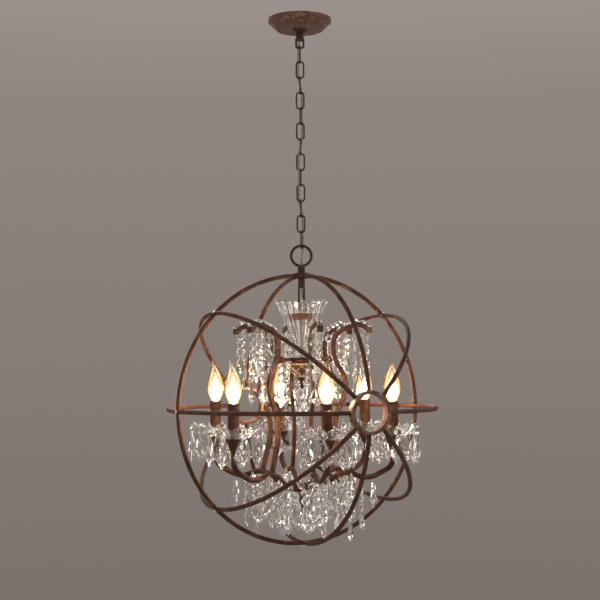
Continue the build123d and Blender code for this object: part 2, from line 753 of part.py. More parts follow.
with BuildPart() as dish_shape:
    with BuildSketch(Plane.XZ):
        with BuildLine():
            dish_outside = ThreePointArc(
                (dish_foot_radius, dish_bottom),
                (dish_shoulder_radius * dish_radius, dish_bottom + dish_shoulder_height * dish_height),
                (dish_radius, dish_rim),
            )
            dish_inside = ThreePointArc(
                (dish_radius - dish_wall, dish_rim),
                (
                    dish_shoulder_radius * dish_radius - dish_wall,
                    dish_bottom + dish_shoulder_height * dish_height + 0.5 * dish_wall,
                ),
                (dish_foot_radius, dish_bottom + dish_wall),
            )
            Line(dish_outside @ 1, dish_inside @ 0)
            Polyline(
                dish_inside @ 1,
                (0, dish_bottom + dish_wall),
                (0, dish_bottom),
                dish_outside @ 0,
            )
        make_face()
    revolve(axis=Axis.Z)
    for notch in range(dish_scallops):
        notch_plane = upright(360 / dish_scallops * notch, dish_rim + 0.3 * scallop_radius)
        with Locations(Plane(origin=notch_plane.origin + notch_plane.x_dir * dish_radius, z_dir=notch_plane.x_dir)):
            Cylinder(scallop_radius, dish_radius, mode=Mode.SUBTRACT)

with BuildPart() as glass_dishes:
    with Locations(*candles):
        add(dish_shape.part)
save(glass_dishes, "glass_dishes")

candle_seat = dish_bottom + dish_wall + seat_gap
candle_top = orb_z + sleeve_top
with BuildPart() as socket_shape:
    with BuildSketch(Plane.XY.offset(candle_seat)):
        Circle(socket_radius)
    extrude(amount=candle_top - 4 - candle_seat)
    with BuildSketch(Plane.XY.offset(candle_top - 4)):
        Circle(socket_bore)
    extrude(amount=-socket_bore_depth, mode=Mode.SUBTRACT)

with BuildPart() as lamp_sockets:
    with Locations(*candles):
        add(socket_shape.part)
save(lamp_sockets, "lamp_sockets")

with BuildPart() as sleeve_shape:
    with BuildSketch(Plane.XY.offset(candle_seat)):
        Circle(sleeve_radius)
        Circle(sleeve_radius - sleeve_wall, mode=Mode.SUBTRACT)
    extrude(amount=candle_top - candle_seat)

with BuildPart() as candle_sleeves:
    with Locations(*candles):
        add(sleeve_shape.part)
save(candle_sleeves, "candle_sleeves")

base_bottom = candle_top - 4 - bulb_base_depth
with BuildPart() as bulb_shape:
    with BuildSketch(Plane.XZ):
        with BuildLine():
            shell = Spline(
                (bulb_neck_radius, candle_top),
                (bulb_radius, candle_top + 0.30 * bulb_height),
                (0.52 * bulb_radius, candle_top + 0.66 * bulb_height),
                (1.2, candle_top + bulb_height),
                tangents=[(0.35, 1), (-0.02, 1)],
            )
            Polyline(
                shell @ 1,
                (0, candle_top + bulb_height),
                (0, base_bottom),
                (bulb_base_radius, base_bottom),
                (bulb_base_radius, candle_top - 4),
                shell @ 0,
            )
        make_face()
    revolve(axis=Axis.Z)

for number, place in enumerate(candles, 1):
    with BuildPart() as bulb:
        with Locations(place):
            add(bulb_shape.part)
    save(bulb, f"bulb_{number}")

# --- glass vase and bowl --------------------------------------------------------------------------------
vase_bottom = spider_top + seat_gap
vase_top = vase_bottom + vase_height
vase_profile = [
    (vase_foot_radius, 0),
    (vase_waist_radius + 1, 0.06),
    (vase_waist_radius, 0.2),
    (vase_waist_radius, 0.34),
    (0.48 * vase_rim_radius, 0.52),
    (0.66 * vase_rim_radius, 0.72),
    (0.83 * vase_rim_radius, 0.87),
    (vase_rim_radius, 1),
]
with BuildPart() as glass_vase:
    with BuildSketch(Plane.XZ):
        with BuildLine():
            outer_line = Polyline(*[(r, vase_bottom + share * vase_height) for r, share in vase_profile])
            inner_points = [(r - vase_wall, vase_bottom + share * vase_height) for r, share in vase_profile[1:]]
            Polyline(
                outer_line @ 1,
                *reversed(inner_points),
                (pipe_radius + slip_gap, vase_bottom + vase_wall),
                (pipe_radius + slip_gap, vase_bottom),
                outer_line @ 0,
            )
        make_face()
    revolve(axis=Axis.Z)
    for notch in range(vase_scallops):
        notch_plane = upright(360 / vase_scallops * notch, vase_top + 0.3 * scallop_radius)
        with Locations(
            Plane(origin=notch_plane.origin + notch_plane.x_dir * vase_rim_radius, z_dir=notch_plane.x_dir)
        ):
            Cylinder(scallop_radius, vase_rim_radius / 2, mode=Mode.SUBTRACT)
save(glass_vase, "glass_vase")

bowl_bottom = finial_top + slip_gap
with BuildPart() as glass_bowl:
    with BuildSketch(Plane.XZ):
        with BuildLine():
            Polyline(
                (pipe_radius + slip_gap, bowl_bottom),
                (0.45 * bowl_radius, bowl_bottom),
                (bowl_radius + bowl_wall, bowl_bottom + 0.8 * bowl_height),
                (bowl_radius, bowl_bottom + 0.8 * bowl_height),
                (0.42 * bowl_radius, bowl_bottom + bowl_wall),
                (pipe_radius + slip_gap, bowl_bottom + bowl_wall),
                (pipe_radius + slip_gap, bowl_bottom),
            )
        make_face()
    revolve(axis=Axis.Z)
save(glass_bowl, "glass_bowl")


# --- cut crystals, each made hanging from its own origin ------------------------------------------------
def cut_drop(width, height, depth):
    """A flat four-sided drop: a small eye, a shoulder, the widest girdle and a point, lofted straight."""
    levels = [(0, 0.14), (-0.12, 0.32), (-0.64, 1), (-1, 0.06)]
    with BuildPart() as drop:
        for down, share in levels:
            half_width, half_depth = share * width / 2, sqrt(share) * depth / 2
            with BuildSketch(Plane.XY.offset(down * height)):
                Polygon((half_width, 0), (0, half_depth), (-half_width, 0), (0, -half_depth), align=None)
        loft(ruled=True)
    return drop.part


with BuildPart() as bead_shape:
    with BuildSketch(Plane.XZ.offset(-bead_thickness / 2)):
        with Locations((0, -bead_width / 2)):
            RegularPolygon(bead_width / 2, facet_count, major_radius=False, rotation=180 / facet_count)
    extrude(amount=bead_thickness)
octagon_bead = bead_shape.part
kite_drop = cut_drop(kite_width, kite_height, kite_depth)
almond_drop = cut_drop(almond_width, almond_height, almond_depth)
big_kite_drop = cut_drop(big_kite_width, big_kite_height, big_kite_depth)
drop_heights = {"kite": kite_height, "almond": almond_height, "big": big_kite_height}
crystal_gap = bead_pitch - bead_width


def strand(radius, azimuth, z, beads, drop=None, centre=(0, 0), turn=None):
    """Places for a strand that hangs from a height: its beads, and the drop below them."""
    x, y, _ = polar(radius, azimuth)
    turn = azimuth if turn is None else turn
    places = [
        ("bead", Location((centre[0] + x, centre[1] + y, z - bead_pitch * i), (0, 0, turn)))
        for i in range(beads)
    ]
    if drop:
        places.append((drop, Location((centre[0] + x, centre[1] + y, z - bead_pitch * beads), (0, 0, turn))))
    return places


def swag(start, end, beads, turn):
    """Beads in even steps along a chain, a pitch longer for each, that sags between two level points."""
    span = Vector(*end) - Vector(*start)
    sag = sqrt(3 / 8 * span.length * (beads * bead_pitch - span.length))
    steps = 200
    shares = [i / steps for i in range(steps + 1)]
    chain = [Vector(*start) + span * a - Vector(0, 0, 4 * sag * a * (1 - a)) for a in shares]
    runs = [(after - before).length for before, after in zip(chain, chain[1:])]
    places = []
    for i in range(beads):
        target = sum(runs) * (i + 0.5) / beads
        nearest = min(range(steps), key=lambda n: abs(sum(runs[: n + 1]) - target))
        places.append(("bead", Location(tuple(chain[nearest + 1] + Vector(0, 0, bead_width / 2)), (0, 0, turn))))
    return places


def beads_down_to(radius, z, drop, reach):
    """How many beads fit above a drop whose point stays within reach of the orb's centre."""
    floor = orb_z - sqrt(reach**2 - radius**2)
    return max(0, int((z - floor - drop_heights[drop]) / bead_pitch))


shapes = {"bead": octagon_bead, "kite": kite_drop, "almond": almond_drop, "big": big_kite_drop}


def save_crystals(places, name):
    with BuildPart() as crystals:
        for kind, shape in shapes.items():
            spots = [spot for piece, spot in places if piece == kind]
            if spots:
                with Locations(*spots):
                    add(shape)
    save(crystals, name)


# Drops round each dish, hung just below its rim.
dish_drop_sink = 2.2
dish_drop_top = dish_rim - dish_drop_sink
dish_drop_radius = dish_radius - dish_drop_sink / 2 + slip_gap + bead_thickness / 2
dish_places = []
for candle, azimuth in zip(candles, arm_azimuths):
    for i in range(drops_per_dish):
        around_dish = azimuth + 360 / drops_per_dish * (i + 0.5)
        centre = (candle.position.X, candle.position.Y)
        dish_places += strand(dish_drop_radius, around_dish, dish_drop_top, 1, "kite", centre)
save_crystals(dish_places, "dish_drops")

# Strands under each hook: radius, beads and drop.
hook_rows = [(125, 3, "almond"), (115, 4, "kite"), (101, 7, "kite"), (84, 2, "almond")]
hook_places = []
for azimuth in arm_azimuths:
    for radius, beads, drop in hook_rows:
        top_z = hang_height(strap_path.line, radius, strap_thickness, bead_thickness)
        hook_places += strand(radius, azimuth, top_z, beads, drop)
save_crystals(hook_places, "hook_strands")

# Crystals on the spider: a ring of beads round the vase's foot, strands under the bars, swags to the vase.
tie_z = vase_bottom + 0.34 * vase_height
tie_reach = strap_inner_radius(tie_z - bead_width / 4, tie_z + bead_width / 4)
spider_places = []
bar_strand_radius = 42.0
bar_strands = [(3, "kite"), (5, "almond")]  # beads and drop under one bar and the next
for i in range(foot_beads):
    turn = arm_turn + 360 / foot_beads * i
    spider_places += strand(spider_radius - 2, turn, spider_top + bead_width + slip_gap, 1)
for azimuth, (beads, drop) in zip(arm_azimuths, cycle(bar_strands)):
    bar_bottom = spider_top - spider_bar_height - slip_gap
    spider_places += strand(bar_strand_radius, azimuth, bar_bottom, beads, drop, turn=azimuth + 90)
    for i in range(2):
        inner = tie_reach - bead_width / 2 - bead_pitch * i
        x, y, z = polar(inner, azimuth, tie_z + bead_width / 2)
        spider_places.append(("bead", Location((x, y, z), (0, 0, azimuth + 90))))
save_crystals(spider_places, "spider_crystals")

# A glass ball and a strand under the column's nut, and strands round them under the nut's brim.
ball_radius = 8.0
ball_top = finial_top - finial_height - slip_gap
ball_strand_top = ball_top - 2 * ball_radius - slip_gap
brim_strand_count = 4
brim_strand_radius = 11.6
brim_strand_top = finial_top - 3.6
brim_turn = arm_turn + 20
column_places = strand(0, brim_turn + 180 / brim_strand_count, ball_strand_top, 3, "kite")
for i in range(brim_strand_count):
    turn = brim_turn + 360 / brim_strand_count * i
    column_places += strand(brim_strand_radius, turn, brim_strand_top, 2, "almond")
with BuildPart() as column_crystals:
    with Locations((0, 0, ball_top - ball_radius)):
        Sphere(ball_radius)
    for kind, spot in column_places:
        with Locations(spot):
            add(shapes[kind])
save(column_crystals, "column_crystals")

# The basket of strands under the arms, and the swags between them: radius, drop and reach of each strand.
basket_rows = [
    (40, "big", basket_reach),
    (63, "kite", basket_reach),
    (86, "big", basket_reach),
    (104, "kite", basket_reach),
    (124, "almond", basket_reach),
    (142, "almond", basket_reach),
]
open_rows = [
    (40, "big", low_kite_reach),
    (63, "almond", basket_reach),
    (90, "almond", open_reach - bead_thickness / 2),
    (112, "almond", open_reach - bead_thickness / 2),
    (134, "big", basket_reach),
]
swag_radius = 98.0
swag_beads = 7
swag_hung_beads = (1, 3, 5)  # the beads of each swag that a strand hangs from
swag_sink = 2.6  # its ends, below the arms' centre lines
basket_places = []
for number, azimuth in enumerate(arm_azimuths):
    for radius, drop, reach in open_rows if number % 3 == 1 else basket_rows:
        top_z = hang_height(arm_path.line, radius, arm_diameter, bead_thickness)
        basket_places += strand(radius, azimuth, top_z, beads_down_to(radius, top_z, drop, reach), drop)
    swag_z = first_at(arm_path.line, "X", swag_radius).Z - swag_sink
    beside_arm = arm_diameter / 2 + hang_gap
    half_gap = 180 / arm_count
    hang_radius = swag_radius * cos(radians(half_gap)) + beside_arm * sin(radians(half_gap))
    half_span = swag_radius * sin(radians(half_gap)) - beside_arm * cos(radians(half_gap))
    middle = Vector(*polar(hang_radius, azimuth + half_gap, swag_z))
    across = Vector(*polar(half_span, azimuth + half_gap + 90))
    between_arms = swag(tuple(middle - across), tuple(middle + across), swag_beads, azimuth + half_gap)
    basket_places += between_arms
    for index in swag_hung_beads:
        held_by = between_arms[index][1].position
        hang_z = held_by.Z - bead_width - crystal_gap
        hang_reach = sqrt(held_by.X**2 + held_by.Y**2)
        beads = beads_down_to(hang_reach, hang_z, "almond", basket_reach)
        centre = (held_by.X, held_by.Y)
        basket_places += strand(0, 0, hang_z, beads, "almond", centre, azimuth + half_gap)
save_crystals(basket_places, "basket_strands")

with BuildPart() as finial_drop:
    finial_places = strand(0, 0, hub_bottom - hub_finial_length - slip_gap, 0, "almond")
    for kind, spot in finial_places:
        with Locations(spot):
            add(shapes[kind])
save(finial_drop, "finial_drop")
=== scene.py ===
"""The orb chandelier's looks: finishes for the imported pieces, cut crystals, pressed glass, lit bulbs and cord.

Metres, +Z up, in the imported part's frame: the origin is on the ceiling, at the centre of the canopy's rim.
Azimuths turn from -Y towards +X.
"""

import json
from math import atan2, cos, pi, radians, sin

import bmesh
import bpy
import numpy as np
from mathutils import Matrix, Vector
from mathutils.bvhtree import BVHTree

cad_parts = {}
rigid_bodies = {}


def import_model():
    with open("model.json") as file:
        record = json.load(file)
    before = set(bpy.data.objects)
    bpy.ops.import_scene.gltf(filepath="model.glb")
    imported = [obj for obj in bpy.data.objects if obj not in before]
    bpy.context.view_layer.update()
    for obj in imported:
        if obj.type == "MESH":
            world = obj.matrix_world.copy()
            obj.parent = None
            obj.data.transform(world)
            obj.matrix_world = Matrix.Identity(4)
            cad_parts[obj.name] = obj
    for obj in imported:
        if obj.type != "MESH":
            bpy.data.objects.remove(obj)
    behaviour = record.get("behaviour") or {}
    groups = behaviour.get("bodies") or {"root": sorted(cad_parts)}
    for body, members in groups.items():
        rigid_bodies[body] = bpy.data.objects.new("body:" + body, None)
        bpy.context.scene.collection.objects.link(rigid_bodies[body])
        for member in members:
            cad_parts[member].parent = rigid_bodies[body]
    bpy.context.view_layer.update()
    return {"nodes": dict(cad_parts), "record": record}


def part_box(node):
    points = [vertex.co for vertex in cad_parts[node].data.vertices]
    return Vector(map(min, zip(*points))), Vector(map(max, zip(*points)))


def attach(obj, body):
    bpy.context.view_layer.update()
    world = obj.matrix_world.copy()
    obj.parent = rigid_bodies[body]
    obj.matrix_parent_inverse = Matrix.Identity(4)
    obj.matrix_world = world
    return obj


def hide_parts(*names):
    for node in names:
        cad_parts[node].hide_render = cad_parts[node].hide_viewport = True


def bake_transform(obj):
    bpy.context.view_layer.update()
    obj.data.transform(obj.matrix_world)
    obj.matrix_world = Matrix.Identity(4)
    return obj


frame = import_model()

MM = 0.001
ARM_COUNT = 6
LINK_COUNT = 13


def middle_of(node):
    """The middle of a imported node's box."""
    return sum(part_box(node), Vector()) / 2


def heights_of(node):
    """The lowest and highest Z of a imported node."""
    return (corner.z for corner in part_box(node))


def at_azimuth(radius, azimuth, z):
    """A place at a distance from the part's axis."""
    return radius * sin(azimuth), -radius * cos(azimuth), z


def node_body(node):
    """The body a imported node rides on."""
    return frame["nodes"][node].parent.name.split(":", 1)[1]


# --- places taken from the frame ------------------------------------------------------------------------
ORB_Z = sum(heights_of("ring_equator")) / 2
CANDLES = [middle_of(f"bulb_{number}") for number in range(1, ARM_COUNT + 1)]
FIRST_ARM = atan2(CANDLES[0].x, -CANDLES[0].y)
ARM_AZIMUTHS = [FIRST_ARM + 2 * pi * i / ARM_COUNT for i in range(ARM_COUNT)]
SLEEVE_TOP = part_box("candle_sleeves")[1].z

# --- material kit ---------------------------------------------------------------------------------------
BLACK, WHITE = (0, 0, 0), (1, 1, 1)


def grey(value):
    return (value, value, value)


def brighter(colour, gain):
    return tuple(min(1.0, c * gain) for c in colour)


class Nodes:
    """A material's or a world's nodes under construction: adds nodes and links them in one call."""

    def __init__(self, owner, output="OutputMaterial"):
        owner.use_nodes = True
        self.owner = owner
        self.tree = owner.node_tree
        self.tree.nodes.clear()
        self.output = self.add(output)

    def add(self, kind, inputs=None, **settings):
        node = self.tree.nodes.new("ShaderNode" + kind)
        for key, value in settings.items():
            setattr(node, key, value)
        for key, value in (inputs or {}).items():
            self.set(node.inputs[key], value)
        return node

    def set(self, socket, value):
        if isinstance(value, bpy.types.NodeSocket):
            self.tree.links.new(value, socket)
        else:
            socket.default_value = value

    def place(self):
        """Where a point lies in its own object's frame."""
        return self.add("TexCoord").outputs["Object"]

    def ramp(self, factor, stops):
        """A colour ramp of (position, colour) stops."""
        node = self.add("ValToRGB", {"Fac": factor})
        elements = node.color_ramp.elements
        while len(elements) < len(stops):
            elements.new(0.5)
        for element, (position, colour) in zip(elements, stops):
            element.position = position
            element.color = (*colour, 1)
        return node.outputs["Color"]

    def noise(self, scale, detail, roughness, stretch=None):
        """Soft noise, with scale to the metre."""
        place = self.place()
        if stretch:
            place = self.add("Mapping", {"Vector": place, "Scale": stretch}).outputs["Vector"]
        inputs = {"Vector": place, "Scale": scale, "Detail": detail, "Roughness": roughness}
        return self.add("TexNoise", inputs).outputs["Fac"]

    def mix(self, factor, first, second):
        """Two colours mixed. The node keeps its colour sockets at 6 and 7, and their mix at 2."""
        node = self.add("Mix", {0: factor}, data_type="RGBA")
        for socket, colour in ((node.inputs[6], first), (node.inputs[7], second)):
            self.set(socket, (*colour, 1) if isinstance(colour, tuple) else colour)
        return node.outputs[2]

    def bump(self, height, depth, strength, normal=None):
        inputs = {"Height": height, "Distance": depth, "Strength": strength}
        if normal:
            inputs["Normal"] = normal
        return self.add("Bump", inputs).outputs["Normal"]

    def spread(self, value, low, high):
        """A value from 0 to 1 spread between two others."""
        return self.add("MapRange", {"Value": value, "To Min": low, "To Max": high}).outputs["Result"]

    def principled(self, inputs):
        return self.finish(self.add("BsdfPrincipled", inputs).outputs["BSDF"])

    def finish(self, shader):
        self.set(self.output.inputs["Surface"], shader)
        return self.owner


def new_material(name):
    return Nodes(bpy.data.materials.new(name))


def distressed_iron(name, dark, middle, rust, worn, wear=0.62, patch_scale=34.0):
    """Painted iron: brown paint in soft patches, rust-coloured rubs, pale worn specks and fine pits."""
    n = new_material(name)
    patches = n.noise(patch_scale, detail=5.0, roughness=0.62)
    specks = n.noise(520.0, detail=3.0, roughness=0.7)
    rubs = n.noise(95.0, detail=6.0, roughness=0.7)
    pits = n.add("TexVoronoi", {"Vector": n.place(), "Scale": 640.0}).outputs["Distance"]
    paint = n.ramp(patches, [(0.30, dark), (0.50, middle), (0.72, rust)])
    rub_mask = n.ramp(rubs, [(wear - 0.06, BLACK), (wear + 0.10, grey(0.75))])
    speck_mask = n.ramp(specks, [(0.60, BLACK), (0.72, grey(0.55))])
    pitted = n.bump(pits, depth=0.12 * MM, strength=0.5)
    return n.principled({
        "Base Color": n.mix(speck_mask, n.mix(rub_mask, paint, worn), worn),
        "Roughness": n.spread(rubs, 0.42, 0.78),
        "Metallic": 0.2,
        "Specular IOR Level": 0.3,
        "Normal": n.bump(rubs, depth=0.35 * MM, strength=0.8, normal=pitted),
    })


def plain_metal(name, colour, worn, roughness, metallic):
    """Plated or copper sheet, and the painted glint on the bowl's cut edges: its own colour with soft stains and a
    fine grain.
    """
    n = new_material(name)
    stains = n.noise(60.0, detail=5.0, roughness=0.6)
    grain = n.noise(220.0, detail=4.0, roughness=0.6, stretch=(1, 1, 0.25))
    return n.principled({
        "Base Color": n.mix(n.ramp(stains, [(0.40, BLACK), (0.70, WHITE)]), colour, worn),
        "Roughness": n.spread(grain, roughness - 0.1, roughness + 0.12),
        "Metallic": metallic,
        "Normal": n.bump(grain, depth=0.08 * MM, strength=0.5),
    })


def clear_glass(name, tint, roughness, ior, alpha, ripple=0.0):
    """Cut crystal or pressed glass, with a slight ripple where it was moulded."""
    n = new_material(name)
    streaks = n.noise(90.0, detail=2.0, roughness=0.5)
    return n.principled({
        "Base Color": n.ramp(streaks, [(0.3, tint), (0.7, brighter(tint, 1.02))]),
        "Roughness": roughness,
        "IOR": ior,
        "Transmission Weight": 1.0,
        "Alpha": alpha,
        "Normal": n.bump(streaks, depth=0.6 * MM, strength=ripple),
    })


def thin_glass(name, tint, roughness, faceted=False):
    """A wall too thin to bend light: it tints what is behind it and mirrors at grazing angles.

    A faceted wall's faces mirror alike from both sides.
    """
    n = new_material(name)
    clear = n.add("BsdfTransparent", {"Color": (*tint, 1)}).outputs["BSDF"]
    mirror = n.add("BsdfGlossy", {"Roughness": roughness}).outputs["BSDF"]
    if faceted:
        share = n.add("LayerWeight", {"Blend": 0.15}).outputs["Facing"]
    else:
        share = n.add("Fresnel", {"IOR": 1.6}).outputs["Fac"]
    return n.finish(n.add("MixShader", {0: share, 1: clear, 2: mirror}).outputs["Shader"])


def glow(name, colour, strength, veil=False):
    """Light given off by a bulb's core, or by one of the veils of glow round it, which hide nothing."""
    n = new_material(name)
    shader = n.add("Emission", {"Color": (*colour, 1), "Strength": strength}).outputs["Emission"]
    if veil:
        clear = n.add("BsdfTransparent").outputs["BSDF"]
        shader = n.add("AddShader", {0: clear, 1: shader}).outputs["Shader"]
    return n.finish(shader)


def flex(name, groove_shade, middle, high):
    """Plastic flex with a fine twist showing through, painted darker in the twist's grooves and lighter on its
    crests: painted shade and a painted highlight.
    """
    n = new_material(name)
    wave = {"Vector": n.place(), "Scale": 160.0, "Distortion": 1.5}
    twist = n.add("TexWave", wave, bands_direction="DIAGONAL").outputs["Fac"]
    return n.principled({
        # Colour follows the twist's depth: painted shade in its grooves, a painted highlight on its crests.
        "Base Color": n.ramp(twist, [(0.2, groove_shade), (0.6, middle), (0.9, high)]),
        "Roughness": 0.5,
        "Coat Weight": 0.15,
        "Coat Roughness": 0.3,
        "Normal": n.bump(twist, depth=0.2 * MM, strength=0.6),
    })


def moulded(name, colour, roughness):
    """Moulded plastic with a fine grain."""
    n = new_material(name)
    grain = n.noise(700.0, detail=3.0, roughness=0.6)
    return n.principled({
        "Base Color": n.ramp(grain, [(0.3, colour), (0.7, brighter(colour, 1.5))]),
        "Roughness": roughness,
        "Normal": n.bump(grain, depth=0.1 * MM, strength=0.4),
    })


def matt_paint(name, colour):
    n = new_material(name)
    tone = n.noise(0.8, detail=2.0, roughness=0.5)
    return n.principled({
        "Base Color": n.ramp(tone, [(0.3, colour), (0.7, brighter(colour, 1.03))]), "Roughness": 0.9,
    })


# --- finishes -------------------------------------------------------------------------------------------
RUST = distressed_iron(
    "rust_iron", dark=(0.030, 0.012, 0.008), middle=(0.058, 0.022, 0.013), rust=(0.145, 0.050, 0.024),
    worn=(0.17, 0.085, 0.05),
)
DARK = distressed_iron(
    "dark_iron", dark=(0.026, 0.015, 0.011), middle=(0.046, 0.025, 0.017), rust=(0.080, 0.038, 0.024),
    worn=(0.14, 0.09, 0.06), wear=0.66,
)
PALE = distressed_iron(
    "pale_iron", dark=(0.050, 0.026, 0.022), middle=(0.095, 0.048, 0.040), rust=(0.150, 0.068, 0.052),
    worn=(0.28, 0.20, 0.17), wear=0.56, patch_scale=150.0,
)
COPPER = plain_metal("aged_copper", (0.45, 0.20, 0.10), worn=(0.20, 0.09, 0.05), roughness=0.34, metallic=0.85)
ZINC = plain_metal("zinc_plate", (0.55, 0.54, 0.50), worn=(0.36, 0.35, 0.32), roughness=0.36, metallic=0.9)
SCREW = plain_metal("bright_screw", (0.92, 0.91, 0.88), worn=(0.80, 0.78, 0.75), roughness=0.34, metallic=0.9)
LINING = plain_metal(
    "bowl_lining_iron", (0.30, 0.105, 0.045), worn=(0.13, 0.045, 0.02), roughness=0.5, metallic=0.25
)
# Pale gold metal for the bowl's lattice ribs is a painted glint. It stands in for the glass's cut edges lit gold by
# the bulbs.
PAINTED_EDGE_GLINTS = plain_metal("cut_edges", (0.75, 0.58, 0.42), worn=(0.62, 0.45, 0.32), roughness=0.25, metallic=0.3)
CRYSTAL = clear_glass("cut_crystal", (0.985, 0.985, 0.98), roughness=0.0, ior=1.58, alpha=0.80)
PRESSED = clear_glass("pressed_glass", (0.97, 0.975, 0.97), roughness=0.02, ior=1.5, alpha=0.75, ripple=0.35)
BULB_GLASS = thin_glass("bulb_glass", (1.0, 0.96, 0.90), roughness=0.03)
BOWL_GLASS = thin_glass("bowl_glass", (0.98, 0.98, 0.97), roughness=0.02, faceted=True)
BULB_CORE = glow("bulb_core", (1.0, 0.66, 0.34), strength=460.0)
VEILS = [
    glow("bulb_veil_1", (1.0, 0.52, 0.16), strength=0.13, veil=True),
    glow("bulb_veil_2", (1.0, 0.62, 0.26), strength=0.26, veil=True),
    glow("bulb_veil_3", (1.0, 0.76, 0.43), strength=0.70, veil=True),
    glow("bulb_veil_4", (1.0, 0.90, 0.70), strength=1.80, veil=True),
]
# The darkest colour is painted shade in the twist's grooves. The lightest is a painted highlight on its crests.
FLEX = flex("gold_flex", groove_shade=(0.12, 0.088, 0.042), middle=(0.24, 0.185, 0.09), high=(0.36, 0.29, 0.15))
SOCKET = moulded("socket_plastic", (0.02, 0.018, 0.016), roughness=0.45)

FINISHES = {
    "rust_iron": RUST, "dark_iron": DARK, "pale_iron": PALE, "copper": COPPER, "zinc": ZINC, "crystal": CRYSTAL,
    "clear_glass": PRESSED, "bulb_glass": BULB_GLASS, "cord_gold": FLEX, "socket_black": SOCKET,
}
OWN_FINISH = {"ring_screws": SCREW, "junction_cup": COPPER, "candle_cups": RUST, "ceiling_loop": DARK}
slot_of = {entry["node"]: entry["material_slot"] for entry in frame["record"]["subparts"]}
for node, obj in frame["nodes"].items():
    obj.data.materials.clear()
    obj.data.materials.append(OWN_FINISH.get(node) or FINISHES[slot_of[node]])


# --- mesh kit -------------------------------------------------------------------------------------------
def add_piece(name, vertices, faces, finish, body, smooth=False, replaces=(), slot=None):
    """A mesh piece in the part's frame that rides on a body, if one is given."""
    mesh = bpy.data.meshes.new(name)
    mesh.from_pydata([tuple(v) for v in vertices], [], faces)
    mesh.materials.append(finish)
    if smooth:
        mesh.polygons.foreach_set("use_smooth", [True] * len(mesh.polygons))
    mesh.update()
    obj = bpy.data.objects.new(name, mesh)
    bpy.context.collection.objects.link(obj)
    if body:
        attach(obj, body)
    if replaces:
        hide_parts(*replaces)
    return obj


def merged(parts):
    """Several (vertices, faces) as one."""
    vertices, faces, count = [], [], 0
    for part_vertices, part_faces in parts:
        part_vertices = np.asarray(part_vertices, float)
        vertices.append(part_vertices)
        faces += [tuple(i + count for i in face) for face in part_faces]
        count += len(part_vertices)
    return np.concatenate(vertices), faces


def placed(part, place, turn=0.0):
    """A part turned about Z and moved."""
    vertices, faces = part
    c, s = cos(turn), sin(turn)
    spin = np.array([[c, s, 0], [-s, c, 0], [0, 0, 1]])
    return np.asarray(vertices, float) @ spin + np.asarray(place, float), faces


def turned_ring(radius, z, sides, stagger=0.0):
    """Points round Z, with a stagger as a share of a step."""
    angles = [2 * pi * (k + stagger) / sides for k in range(sides)]
    return [(radius * cos(angle), radius * sin(angle), z) for angle in angles]


def grid(rows, columns):
    """Quads of closed rows of points, one row after another."""
    faces = []
    for r in range(rows - 1):
        for c in range(columns):
            a, b = r * columns + c, r * columns + (c + 1) % columns
            faces.append((a, b, b + columns, a + columns))
    return faces


def end_caps(rows, columns):
    """The faces that close a grid at its first and its last row."""
    last = (rows - 1) * columns
    return [tuple(reversed(range(columns))), tuple(range(last, last + columns))]


def tube(points, radius, sides, closed=False):
    """A tube along points, its rings carried along without twist."""
    points = [Vector(p) for p in points]
    count = len(points)
    normal = None
    rings = []
    for i, point in enumerate(points):
        if closed:
            tangent = points[(i + 1) % count] - points[i - 1]
        else:
            tangent = points[min(i + 1, count - 1)] - points[max(i - 1, 0)]
        tangent.normalize()
        if normal is None:
            normal = tangent.orthogonal().normalized()
        normal = (normal - tangent * normal.dot(tangent)).normalized()
        binormal = tangent.cross(normal)
        for k in range(sides):
            angle = 2 * pi * k / sides
            rings.append(point + (normal * cos(angle) + binormal * sin(angle)) * radius)
    faces = grid(count, sides)
    if closed:
        last = (count - 1) * sides
        faces += [(last + k, last + (k + 1) % sides, (k + 1) % sides, k) for k in range(sides)]
    else:
        faces += end_caps(count, sides)
    return rings, faces


def lathe(profile, sides=48, wave=None):
    """A turned shell from (radius, z) points. wave(angle, row) scales the radius and lifts each point."""
    rings = []
    for i, (radius, z) in enumerate(profile):
        for k in range(sides):
            angle = 2 * pi * k / sides
            scale, lift = wave(angle, i) if wave else (1.0, 0.0)
            rings.append((radius * scale * cos(angle), radius * scale * sin(angle), z + lift))
    return rings, grid(len(profile), sides)


def smooth_profile(points, steps=6):
    """A smooth line through points, with as many steps for each span."""
    line = []
    count = len(points)
    for i in range(count - 1):
        p0, p1, p2, p3 = (np.array(points[min(max(i + k, 0), count - 1)], float) for k in (-1, 0, 1, 2))
        for step in range(steps):
            t = step / steps
            line.append(0.5 * (2 * p1 + (p2 - p0) * t + (2 * p0 - 5 * p1 + 4 * p2 - p3) * t * t
                               + (3 * p1 - p0 - 3 * p2 + p3) * t ** 3))
    line.append(np.array(points[-1], float))
    return line


# --- cut crystals ---------------------------------------------------------------------------------------
# How deep the rows of a crystal's cut lie, as shares of its thickness from its middle plane.
GIRDLE, SHOULDER, TABLE, STAR, POINT = 0.07, 0.30, 0.46, 0.44, 0.5
STAR_SHARE = 0.62  # the star's size, as a share of the table's


